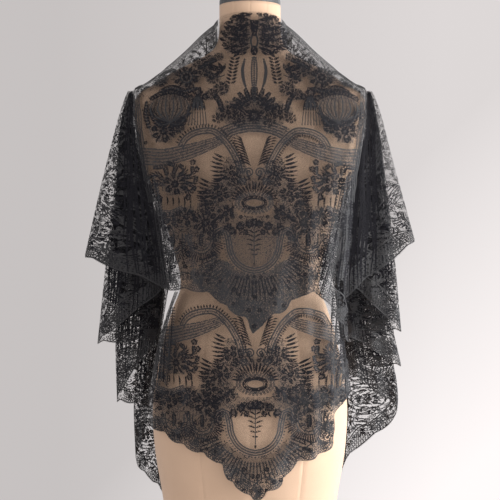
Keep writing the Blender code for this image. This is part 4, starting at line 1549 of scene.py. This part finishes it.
def form_mesh(name):
    """The form's cover: rings through its sections, grooved where the panels are sewn."""
    heights = np.linspace(TORSO_BOTTOM, NECK_TOP, FORM_ROWS)
    points = []
    for z in heights:
        half, back, front, power = (float(smooth(BODY, z, c)) for c in (1, 2, 3, 4))
        angles = sorted(seam_angle(share, where, power) % (2 * np.pi) for share, where in SEAM_SHARES)
        narrow = SEAM_HALF / half
        ring, dips = [], []
        for angle, following in zip(angles, angles[1:] + [angles[0] + 2 * np.pi]):
            ring += [angle - narrow, angle, angle + narrow]
            dips += [0.0, SEAM_DEPTH, 0.0]
            between = np.linspace(angle + narrow, following - narrow, FORM_COLUMNS + 2)[1:-1]
            ring += list(between)
            dips += [0.0] * FORM_COLUMNS
        ring, dips = np.array(ring), np.array(dips)
        c, s = np.cos(ring), np.sin(ring)
        depth = np.where(s > 0, front, back)
        shrink = 1 - dips / half
        x = half * np.sign(c) * np.abs(c) ** (2 / power) * shrink
        y = depth * np.sign(s) * np.abs(s) ** (2 / power) * shrink
        points.append(np.stack([x, y, np.full(len(x), z)], axis=1))
    rows, cols = len(heights), len(points[0])
    corner = np.arange(rows - 1)[:, None] * cols
    i = np.arange(cols)
    following = (i + 1) % cols
    faces = np.stack([corner + i, corner + following, corner + cols + following, corner + cols + i], axis=-1)
    faces = [tuple(int(p) for p in face) for face in faces.reshape(-1, 4)]
    faces.append(tuple(range(cols - 1, -1, -1)))
    faces.append(tuple((rows - 1) * cols + k for k in range(cols)))
    mesh = bpy.data.meshes.new(name)
    mesh.from_pydata([tuple(p) for p in np.concatenate(points)], [], faces)
    for face in mesh.polygons:
        face.use_smooth = len(face.vertices) == 4
    mesh.update()
    return placed(name, mesh)


# Finishes
THREAD_SHEEN_ROUGHNESS = 0.45
THREAD_GLOSS = 0.10
RIM_SHARE = 0.68  # where the corded rim of clothwork starts, from its middle (0) to its edge (1)
TWIST_SCALE = 900


class Finish:
    """A material with its shader and short ways to add and join nodes."""

    def __init__(self, name, colour, roughness):
        self.made = bpy.data.materials.new(name)
        self.made.use_nodes = True
        self.tree = self.made.node_tree
        self.shader = self.tree.nodes["Principled BSDF"]
        self.set("Base Color", (*colour, 1.0))
        self.set("Roughness", roughness)
        self.made.diffuse_color = (*colour, 1.0)

    def set(self, socket, value):
        self.shader.inputs[socket].default_value = value

    def node(self, kind, **settings):
        added = self.tree.nodes.new(kind)
        for name, value in settings.items():
            setattr(added, name, value)
        return added

    def link(self, source, target):
        self.tree.links.new(source, target)

    def math(self, operation, first, second=None):
        added = self.node("ShaderNodeMath", operation=operation)
        for i, value in enumerate((first, second)):
            if value is None:
                continue
            if isinstance(value, (int, float)):
                added.inputs[i].default_value = value
            else:
                self.link(value, added.inputs[i])
        return added.outputs[0]

    def ramp(self, source, stops):
        added = self.node("ShaderNodeValToRGB")
        elements = added.color_ramp.elements
        while len(elements) < len(stops):
            elements.new(0.5)
        for element, (place, colour) in zip(elements, stops):
            element.position = place
            element.color = (*colour, 1.0)
        self.link(source, added.inputs["Fac"])
        return added.outputs["Color"]

    def bump(self, height, distance, strength=1.0):
        added = self.node("ShaderNodeBump")
        added.inputs["Distance"].default_value = distance
        added.inputs["Strength"].default_value = strength
        self.link(height, added.inputs["Height"])
        self.link(added.outputs["Normal"], self.shader.inputs["Normal"])

    def cells(self, vector, size, feature, randomness, dimensions="3D"):
        """Distances in a field of cells of this size."""
        added = self.node("ShaderNodeTexVoronoi", voronoi_dimensions=dimensions, feature=feature)
        added.inputs["Scale"].default_value = 1 / size
        added.inputs["Randomness"].default_value = randomness
        self.link(vector, added.inputs["Vector"])
        return added.outputs["Distance"]

    def open_work(self, thread, height, distance, strength):
        """Clear wherever there is no thread, with a fine relief; gives the material."""
        self.link(thread, self.shader.inputs["Alpha"])
        self.bump(height, distance, strength)
        return self.made

    def flat_place(self, layer):
        return self.node("ShaderNodeUVMap", uv_map=layer).outputs["UV"]

    def place(self):
        return self.node("ShaderNodeTexCoord").outputs["Object"]

    def noise(self, vector, scale, detail=2.0):
        added = self.node("ShaderNodeTexNoise")
        added.inputs["Scale"].default_value = scale
        added.inputs["Detail"].default_value = detail
        self.link(vector, added.inputs["Vector"])
        return added.outputs["Fac"]


def lace_finish(name, looks, roughness):
    made = Finish(name, looks.thread, roughness)
    made.set("Sheen Weight", looks.sheen)
    return made


def soften(made):
    """Dull thread, as on the net and the clothwork."""
    made.set("Sheen Roughness", THREAD_SHEEN_ROUGHNESS)
    made.set("Specular IOR Level", THREAD_GLOSS)


def net_finish(looks):
    """Fine hexagonal net: open between its threads."""
    made = lace_finish("black_net", looks, 0.62)
    soften(made)
    cells = made.cells(made.flat_place("net"), looks.mesh_size, "DISTANCE_TO_EDGE", 0.35, "2D")
    return made.open_work(made.math("LESS_THAN", cells, looks.thread_share), cells, 0.0002, 0.6)


def clothwork_finish(looks):
    """Worked parts: close threads with small gaps, and a corded rim."""
    made = lace_finish("black_clothwork", looks, 0.66)
    soften(made)
    split = made.node("ShaderNodeSeparateXYZ")
    made.link(made.flat_place("thread"), split.inputs[0])
    rim = made.math("GREATER_THAN", made.math("ABSOLUTE", split.outputs["Y"]), RIM_SHARE)
    gaps = made.cells(made.place(), looks.gap_size, "F1", 0.8)
    close = made.math("GREATER_THAN", gaps, looks.gap_share)
    return made.open_work(made.math("MAXIMUM", rim, close), gaps, 0.0003, 0.7)


def cord_finish(looks):
    """Outlining cord: solid, with the twist of its threads."""
    made = lace_finish("black_cord", looks, 0.55)
    twist = made.node("ShaderNodeTexWave", wave_type="BANDS", bands_direction="DIAGONAL")
    twist.inputs["Scale"].default_value = TWIST_SCALE
    made.link(made.place(), twist.inputs["Vector"])
    stops = ((0.0, tuple(0.6 * c for c in looks.thread)), (1.0, tuple(looks.thread)))
    made.link(made.ramp(twist.outputs["Fac"], stops), made.shader.inputs["Base Color"])
    made.bump(twist.outputs["Fac"], 0.0002, 0.6)
    return made.made


def stripe_finish(looks):
    """Striped ribbon: clothwork with slightly larger gaps and no rim."""
    made = lace_finish("black_stripe", looks, 0.66)
    gaps = made.cells(made.place(), looks.gap_size, "F1", 1.0)
    return made.open_work(made.math("GREATER_THAN", gaps, looks.gap_share * 1.15), gaps, 0.0003, 0.7)


def half_stitch_finish(looks):
    """Half stitch: an open crossing of threads, much thinner than clothwork."""
    made = lace_finish("black_half_stitch", looks, 0.66)
    cells = made.cells(made.place(), looks.half_size, "DISTANCE_TO_EDGE", 0.7)
    return made.open_work(made.math("LESS_THAN", cells, looks.half_share), cells, 0.0002, 0.6)


def linen_finish(colour):
    """Plain-woven linen cover, a little uneven in tone."""
    made = Finish("linen_cover", colour, 0.88)
    made.set("Sheen Weight", 0.15)
    made.set("Specular IOR Level", 0.25)
    place = made.place()
    warp = made.node("ShaderNodeTexWave", bands_direction="X")
    weft = made.node("ShaderNodeTexWave", bands_direction="Z")
    for wave in (warp, weft):
        wave.inputs["Scale"].default_value = 420
        wave.inputs["Distortion"].default_value = 1.2
        wave.inputs["Detail"].default_value = 1.0
        made.link(place, wave.inputs["Vector"])
    weave = made.math("MULTIPLY", warp.outputs["Fac"], weft.outputs["Fac"])
    tone = made.math(
        "ADD", made.math("MULTIPLY", weave, 0.35), made.math("MULTIPLY", made.noise(place, 9.0), 0.65),
    )
    dark, pale = (tuple(c * k for c in colour) for k in (0.86, 1.10))
    made.link(made.ramp(tone, ((0.15, dark), (0.75, pale))), made.shader.inputs["Base Color"])
    made.bump(weave, 0.0003, 0.5)
    return made.made


def slate_finish(colour):
    """Dark painted cap with a fine grain."""
    made = Finish("slate_cap", colour, 0.45)
    grain = made.noise(made.place(), 240.0, 4.0)
    dark, pale = (tuple(c * k for c in colour) for k in (0.8, 1.25))
    made.link(made.ramp(grain, ((0.35, dark), (0.65, pale))), made.shader.inputs["Base Color"])
    made.link(made.math("ADD", made.math("MULTIPLY", grain, 0.2), 0.36), made.shader.inputs["Roughness"])
    made.bump(grain, 0.0002, 0.4)
    return made.made


def metal_finish(colour):
    """Satin paint over metal, with faint scuffs."""
    made = Finish("painted_metal", colour, 0.42)
    made.set("Metallic", 0.2)
    made.set("Coat Weight", 0.15)
    place = made.place()
    scuffs = made.noise(place, 14.0, 6.0)
    dark, pale = (tuple(c * k for c in colour) for k in (0.85, 1.3))
    made.link(made.ramp(scuffs, ((0.4, dark), (0.75, pale))), made.shader.inputs["Base Color"])
    made.link(made.math("ADD", made.math("MULTIPLY", scuffs, 0.25), 0.3), made.shader.inputs["Roughness"])
    made.bump(made.noise(place, 900.0), 0.00008, 0.5)
    return made.made


# Settings
def colour_setting(name, description, default):
    return bpy.props.FloatVectorProperty(
        name=name, description=description, subtype="COLOR", size=3, min=0.0, max=1.0, default=default
    )


def length_setting(name, description, default):
    return bpy.props.FloatProperty(
        name=name, description=description, unit="LENGTH", subtype="DISTANCE",
        precision=5, min=0.0, default=default,
    )


def share_setting(name, description, default, most=1.0):
    return bpy.props.FloatProperty(name=name, description=description, min=0.0, max=most, default=default)


class ShawlLooks(bpy.types.PropertyGroup):
    """Thread, net and worked parts of the lace"""

    thread: colour_setting("Thread", "Colour of the black thread", (0.0078, 0.0076, 0.0104))
    sheen: share_setting("Sheen", "Soft gloss of the thread", 0.008)
    mesh_size: length_setting("Mesh size", "Distance between the meshes of the net", 0.0016)
    thread_share: share_setting("Net thread", "Half a net thread as a share of a mesh", 0.050)
    gap_size: length_setting("Gap size", "Distance between the gaps of the clothwork", 0.0028)
    gap_share: share_setting("Gaps", "Radius of a gap as a share of its distance", 0.30)
    half_size: length_setting("Half stitch size", "Distance between the openings of the half stitch", 0.0021)
    half_share: share_setting(
        "Half stitch", "Half a thread of the half stitch as a share of an opening", 0.085,
    )


class FormLooks(bpy.types.PropertyGroup):
    """Colours of the dress form and its stand"""

    linen: colour_setting("Linen", "Colour of the form's cover", (0.56, 0.39, 0.275))
    slate: colour_setting("Cap", "Colour of the neck cap", (0.045, 0.05, 0.055))
    metal: colour_setting("Stand", "Colour of the pole and the base", (0.06, 0.06, 0.062))


class StageSettings(bpy.types.PropertyGroup):
    """Camera, floor and lights"""

    distance: length_setting("Camera distance", "Distance of the camera from the form", 2.4)
    height: length_setting("Camera height", "Height of the camera and of what it looks at", 0.936)
    view: length_setting("View width", "Width that the picture takes in at the form", 0.90)
    floor: length_setting("Floor radius", "Radius of the pale floor", 2.3)
    window: share_setting("Window light", "Power of the large light on the right, in watts", 84.0, 500.0)
    fill: share_setting("Fill light", "Power of the light on the left, in watts", 19.0, 500.0)
    low_window: share_setting("Low window", "Power of the light low on the right, in watts", 34.0, 500.0)
    wall: colour_setting("Wall", "Colour of the air behind the form", (0.66, 0.625, 0.62))


# Pieces
def use_finish(obj, *finishes):
    if len(obj.data.materials):
        obj.data.materials.clear()
    for finish in finishes:
        obj.data.materials.append(finish)


def shared(name, make, *values):
    """A finish that several pieces share, made once."""
    return bpy.data.materials.get(name) or make(*values)


def dress_panel(panel, grid, work, cut, area, held, rests_on):
    """Adds a panel's net and its motifs, in place of its solid."""
    looks = bpy.context.scene.shawl_looks
    net = net_of(panel, panel.node + "_net", grid)
    use_finish(net, shared("black_net", net_finish, looks))
    motifs = work.mesh_of(panel.node + "_motifs", MOTIF_LIFT)
    use_finish(
        motifs,
        shared("black_clothwork", clothwork_finish, looks),
        shared("black_cord", cord_finish, looks),
        shared("black_stripe", stripe_finish, looks),
        shared("black_half_stitch", half_stitch_finish, looks),
    )
    for obj in (net, motifs):
        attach(obj, "root")
    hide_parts(panel.node)
    return net


class SHAWL_OT_back(bpy.types.Operator):
    """Add the two layers of lace that hang behind"""

    bl_idname = "shawl.back"
    bl_label = "Back"

    def execute(self, context):
        upper = back_panel("upper_back", BACK_EDGE, 1, UPPER_HEM, UPPER_SCALLOPS, BACK_CREASES, 0.0)
        work = Lacework(upper)
        crown(work, UPPER_AXIS)
        top_field(work, UPPER_AXIS)
        fan_bouquet(work, UPPER_AXIS, UPPER_LEVEL + FAN_ABOVE)
        tier(work, UPPER_AXIS, UPPER_LEVEL, 3, True)
        for side in (-1, 1):
            fold_lines(work, side, *FOLD_LINES)
            edge_lines(work, BACK_EDGE, side, *UPPER_EDGE_LINES)
            pebbles(work, Spot(UPPER_AXIS, UPPER_LEVEL, side).at(TIP), 5)
        specks(work, UPPER_GROUND, *UPPER_SPECKS)
        for bundle in UPPER_BUNDLES:
            streaks(work, *bundle)
        border(work, np.stack(hem_curve(UPPER_HEM, UPPER_SCALLOPS), axis=1), 6)
        grid = back_net_grid(BACK_EDGE, UPPER_HEM, UPPER_SCALLOPS, 0.0, *UPPER_NET)
        dress_panel(upper, grid, work, *UPPER_CUT, "folded", ["form_cover"])
        lower = back_panel("lower_back", UNDER_EDGE, 0, LOWER_HEM, LOWER_SCALLOPS, UNDER_CREASES, UNDER_DROP)
        work = Lacework(lower)
        tier(work, LOWER_AXIS, LOWER_LEVEL, 63, False)
        edge_lines(work, UNDER_EDGE, -1, *LOWER_EDGE_LINES)
        for bundle in LOWER_BUNDLES:
            streaks(work, *bundle)
        border(work, np.stack(hem_curve(LOWER_HEM, LOWER_SCALLOPS), axis=1), 5)
        grid = back_net_grid(UNDER_EDGE, LOWER_HEM, LOWER_SCALLOPS, UNDER_DROP, *LOWER_NET)
        dress_panel(lower, grid, work, *LOWER_CUT, "folded", ["form_cover"])
        return {"FINISHED"}


class SHAWL_OT_falls(bpy.types.Operator):
    """Add the three flutes of lace that fall from each shoulder"""

    bl_idname = "shawl.falls"
    bl_label = "Falls"

    def execute(self, context):
        for side, number, outer, hems in FLUTES:
            width, cut, area = FALL_CUTS[side, number]
            node = f"{SIDE_NAMES[side]}_fall_{number}"

            def place_at(t, z, side=side, number=number, outer=outer):
                return fall_place(side, number, outer, t, z)

            def hem_at(t, hems=hems):
                return fall_hem(hems, t)

            def top_at(t):
                return np.full(np.shape(t), FOLD_Z)

            outward = np.array((float(side), 0.0, 0.0))
            panel = hanging_panel(node, place_at, hem_at, top_at, width, outward, FALL_CREASES)
            work = Lacework(panel)
            reach = FALL_GATHERS[number]
            step = FALL_FILL[side, number]
            hanging_design(
                work, width, hem_at, top_at, 100 + 10 * number + side,
                ((GATHER_EDGE, reach), (1 - reach, 1 - GATHER_EDGE)), step,
            )
            grid = hanging_net_grid(hem_at, top_at, width, *FALL_NET)
            dress_panel(panel, grid, work, cut, area, "draped", ["form_cover"])
        return {"FINISHED"}


class SHAWL_OT_fronts(bpy.types.Operator):
    """Add the two fronts with their hanging tips"""

    bl_idname = "shawl.fronts"
    bl_label = "Fronts"

    def execute(self, context):
        for side, outer, hems in FRONT_ENDS:
            width, cut, area = FRONT_CUTS[side]
            node = f"{SIDE_NAMES[side]}_front"

            def place_at(t, z, side=side, outer=outer):
                return front_place(side, outer, t, z)

            def hem_at(t, hems=hems):
                return front_hem(hems, t)

            def top_at(t):
                return front_top(t)[1]

            outward = np.array((side * 0.2, 1.0, 0.0))
            panel = hanging_panel(node, place_at, hem_at, top_at, width, outward, FALL_CREASES)
            work = Lacework(panel)
            hanging_design(
                work, width, hem_at, top_at, 200 + side, ((GATHER_EDGE, FRONT_GATHER),), FRONT_FILL,
            )
            centre = (width * ROUND_AT, float(hem_at(np.array(ROUND_AT))) + ROUND_ABOVE)
            for radius in ROUND_RADII:
                work.ring(centre, radius + ROUND_HALF, radius - ROUND_HALF, 36, STRIPE)
            work.rays(centre, 0.047, 0.064, -np.pi, np.pi, 44, 0.0009)
            work.bouquet(centre, 0.0130, 90)
            heights = np.linspace(float(hem_at(np.array(1.0))), float(top_at(np.array(1.0))), 60)
            border(work, np.stack([np.full(60, width), heights], axis=1), 3)
            grid = hanging_net_grid(hem_at, top_at, width, *FRONT_NET)
            dress_panel(panel, grid, work, cut, area, "draped", ["form_cover"])
        return {"FINISHED"}


class SHAWL_OT_form(bpy.types.Operator):
    """Add the form's sewn linen cover and finish its cap"""

    bl_idname = "shawl.form"
    bl_label = "Dress form"

    def execute(self, context):
        looks = context.scene.form_looks
        cover = form_mesh("form_cover")
        use_finish(cover, linen_finish(looks.linen))
        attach(cover, "root")
        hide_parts("form_torso")
        use_finish(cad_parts["neck_cap"], slate_finish(looks.slate))
        return {"FINISHED"}


class SHAWL_OT_stand(bpy.types.Operator):
    """Finish the pole and the weighted base"""

    bl_idname = "shawl.stand"
    bl_label = "Stand"

    def execute(self, context):
        finish = metal_finish(context.scene.form_looks.metal)
        for node in ("stand_pole", "stand_base"):
            use_finish(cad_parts[node], finish)
        return {"FINISHED"}


def floor_disc(radius):
    mesh = bpy.data.meshes.new("floor")
    sides = 96
    turn = [2 * math.pi * i / sides for i in range(sides)]
    mesh.from_pydata(
        [(radius * math.cos(a), radius * math.sin(a), 0.0) for a in turn], [], [tuple(range(sides))],
    )
    obj = placed("floor", mesh)
    made = Finish("pale_floor", (0.62, 0.60, 0.59), 0.8)
    tone = made.noise(made.place(), 3.0)
    made.link(
        made.ramp(tone, ((0.3, (0.60, 0.58, 0.57)), (0.7, (0.64, 0.62, 0.61)))),
        made.shader.inputs["Base Color"],
    )
    mesh.materials.append(made.made)


def area_light(name, place, target, size, power, colour):
    data = bpy.data.lights.new(name, "AREA")
    data.shape = "SQUARE"
    data.size = size
    data.energy = power
    data.color = colour
    obj = placed(name, data)
    obj.location = place
    aim = np.asarray(target, float) - np.asarray(place, float)
    flat = math.hypot(aim[0], aim[1])
    obj.rotation_euler = (math.atan2(flat, -aim[2]), 0.0, math.atan2(-aim[0], aim[1]))


class SHAWL_OT_stage(bpy.types.Operator):
    """Set up the floor, the soft lights and the camera"""

    bl_idname = "shawl.stage"
    bl_label = "Stage"

    def execute(self, context):
        scene = context.scene
        stage = scene.stage_settings
        floor_disc(stage.floor)
        camera = bpy.data.cameras.new("camera")
        camera.sensor_width = 36.0
        camera.lens = camera.sensor_width * stage.distance / stage.view
        holder = placed("camera", camera)
        holder.location = (0.0, -stage.distance, stage.height)
        holder.rotation_euler = (math.pi / 2, 0.0, 0.0)
        scene.camera = holder
        area_light("window", (2.3, -1.1, 1.35), (0.0, 0.0, 0.95), 1.8, stage.window, (1.0, 0.985, 0.96))
        area_light("fill", (-2.0, -1.8, 1.5), (0.0, 0.0, 0.95), 1.8, stage.fill, (0.97, 0.98, 1.0))
        area_light(
            "low_window", (1.8, -0.15, 0.50), (0.1, 0.0, 0.50), 1.0, stage.low_window, (0.93, 0.97, 1.0),
        )
        area_light("back", (0.6, 2.2, 1.9), (0.0, 0.0, 0.9), 1.6, stage.fill, (1.0, 1.0, 1.0))
        world = bpy.data.worlds.new("pale_room")
        world.use_nodes = True
        nodes, links = world.node_tree.nodes, world.node_tree.links
        place = nodes.new("ShaderNodeTexCoord")
        split = nodes.new("ShaderNodeSeparateXYZ")
        links.new(place.outputs["Generated"], split.inputs[0])

        def rise(socket, start, end, low, high):
            added = nodes.new("ShaderNodeMapRange")
            for name, value in (("From Min", start), ("From Max", end), ("To Min", low), ("To Max", high)):
                added.inputs[name].default_value = value
            links.new(socket, added.inputs["Value"])
            return added.outputs["Result"]

        def joined(operation, first, second):
            added = nodes.new("ShaderNodeMath")
            added.operation = operation
            links.new(first, added.inputs[0])
            links.new(second, added.inputs[1])
            return added.outputs[0]

        # Paler to the right, and most of all low on the right, near the window
        across = rise(split.outputs["X"], -0.14, 0.14, 0.86, 1.10)
        low = joined("SUBTRACT", split.outputs["X"], split.outputs["Z"])
        glow = rise(low, 0.06, 0.32, 0.0, 0.46)
        tint = nodes.new("ShaderNodeVectorMath")
        tint.operation = "SCALE"
        tint.inputs[0].default_value = tuple(stage.wall)
        links.new(joined("ADD", across, glow), tint.inputs["Scale"])
        links.new(tint.outputs[0], nodes["Background"].inputs["Color"])
        scene.world = world
        scene.view_settings.view_transform = "Standard"
        scene.cycles.transparent_max_bounces = 96
        return {"FINISHED"}


class SHAWL_PT_sidebar(bpy.types.Panel):
    """Buttons and settings for the shawl, the form and the stage"""

    bl_idname = "SHAWL_PT_sidebar"
    bl_label = "Lace shawl"
    bl_space_type = "VIEW_3D"
    bl_region_type = "UI"
    bl_category = "Shawl"

    def draw(self, context):
        column = self.layout.column()
        for piece in PIECES:
            column.operator(piece.bl_idname)
        for settings in (context.scene.shawl_looks, context.scene.form_looks, context.scene.stage_settings):
            box = self.layout.box()
            for name in type(settings).__annotations__:
                box.prop(settings, name)


SIDE_NAMES = {-1: "left", 1: "right"}
UPPER_AXIS, UPPER_LEVEL = 0.0072, 1.0165  # axis of the pattern and height of its oval
LOWER_AXIS, LOWER_LEVEL = 0.0090, 0.7080

FAN_ABOVE = 0.148  # height of the fan of blooms over the upper oval
# Gathered lines under the fold: from and to as distances from the middle, how many, drop
FOLD_LINES = (0.052, 0.204, 12, 0.034)
# Lines down a side edge: top, bottom, distances from the edge
UPPER_EDGE_LINES = (1.228, 1.020, (0.0025, 0.0052, 0.0085, 0.0125))
LOWER_EDGE_LINES = (0.862, 0.700, (0.0025, 0.0050, 0.0080, 0.0110))
UPPER_SPECKS = (0.0088, 0.0009, 9)  # distance between them, radius, seed
# Grids of the nets. Back: rows, parts of a hem step. Falls and fronts: columns, rows, closeness at the top
UPPER_NET = (130, 3)
LOWER_NET = (160, 2)
FALL_NET = (61, 110, 1.0)
FRONT_NET = (91, 130, 1.4)
# Gathered parts of the falls and fronts, as shares of their width
FALL_GATHERS = {1: 0.26, 2: 0.42, 3: 0.42}
FRONT_GATHER = 0.22
GATHER_EDGE = 0.03
FRONT_FILL = 0.0082  # distance between the motifs of the fronts' fill
# Round motif near each front's tip: share of the width, height above the hem, radii, half a band's width
ROUND_AT = 0.74
ROUND_ABOVE = 0.086
ROUND_RADII = (0.016, 0.022, 0.028, 0.037, 0.043)
ROUND_HALF = 0.0011

# Close ground of the upper layer between its ribbons and its hem
UPPER_GROUND = (
    (-0.17, 0.985), (-0.10, 0.965), (0.0, 0.975), (0.11, 0.965), (0.18, 0.985), (0.18, 0.80), (-0.17, 0.80),
)
# Bundles of narrow folds: top, bottom, how many, spread at the top and at the bottom, seed
UPPER_BUNDLES = (
    ((0.162, 1.060), (0.138, 0.880), 7, (0.020, 0.040), 71),
    ((0.140, 0.960), (0.112, 0.850), 4, (0.026, 0.030), 72),
    ((-0.163, 1.060), (-0.136, 0.870), 6, (0.012, 0.020), 73),
)
LOWER_BUNDLES = (
    ((0.158, 0.860), (0.150, 0.690), 6, (0.036, 0.034), 74),
    ((-0.148, 0.836), (-0.156, 0.700), 11, (0.036, 0.026), 75),
)

# Cut of each panel: greatest girth across its folds and longest drop, then its flat area
UPPER_CUT = ((0.50, 0.58), 0.2147)
LOWER_CUT = ((0.49, 0.85), 0.3084)
# Width across the flat design, then the cut
FALL_CUTS = {
    (-1, 1): (0.165, (0.29, 0.37), 0.0562),
    (-1, 2): (0.165, (0.23, 0.46), 0.0660),
    (-1, 3): (0.135, (0.20, 0.59), 0.0748),
    (1, 1): (0.150, (0.27, 0.39), 0.0507),
    (1, 2): (0.155, (0.23, 0.45), 0.0614),
    (1, 3): (0.165, (0.21, 0.53), 0.0734),
}
# Distance between the motifs of each fall's fill
FALL_FILL = {
    (-1, 1): 0.0082, (-1, 2): 0.0080, (-1, 3): 0.0080, (1, 1): 0.0110, (1, 2): 0.0076, (1, 3): 0.0076,
}
FRONT_CUTS = {-1: (0.115, (0.17, 0.92), 0.0835), 1: (0.145, (0.19, 0.88), 0.1023)}

PIECES = (SHAWL_OT_stage, SHAWL_OT_form, SHAWL_OT_stand, SHAWL_OT_back, SHAWL_OT_falls, SHAWL_OT_fronts)
GROUPS = (ShawlLooks, FormLooks, StageSettings)


def register():
    for group in (*GROUPS, *PIECES, SHAWL_PT_sidebar):
        bpy.utils.register_class(group)
    bpy.types.Scene.shawl_looks = bpy.props.PointerProperty(type=ShawlLooks)
    bpy.types.Scene.form_looks = bpy.props.PointerProperty(type=FormLooks)
    bpy.types.Scene.stage_settings = bpy.props.PointerProperty(type=StageSettings)


def unregister():
    del bpy.types.Scene.stage_settings
    del bpy.types.Scene.form_looks
    del bpy.types.Scene.shawl_looks
    for group in reversed((*GROUPS, *PIECES, SHAWL_PT_sidebar)):
        bpy.utils.unregister_class(group)


def main():
    register()
    bpy.ops.shawl.stage()
    bpy.ops.shawl.form()
    bpy.ops.shawl.stand()
    bpy.ops.shawl.back()
    bpy.ops.shawl.falls()
    bpy.ops.shawl.fronts()


if __name__ == "__main__":
    main()
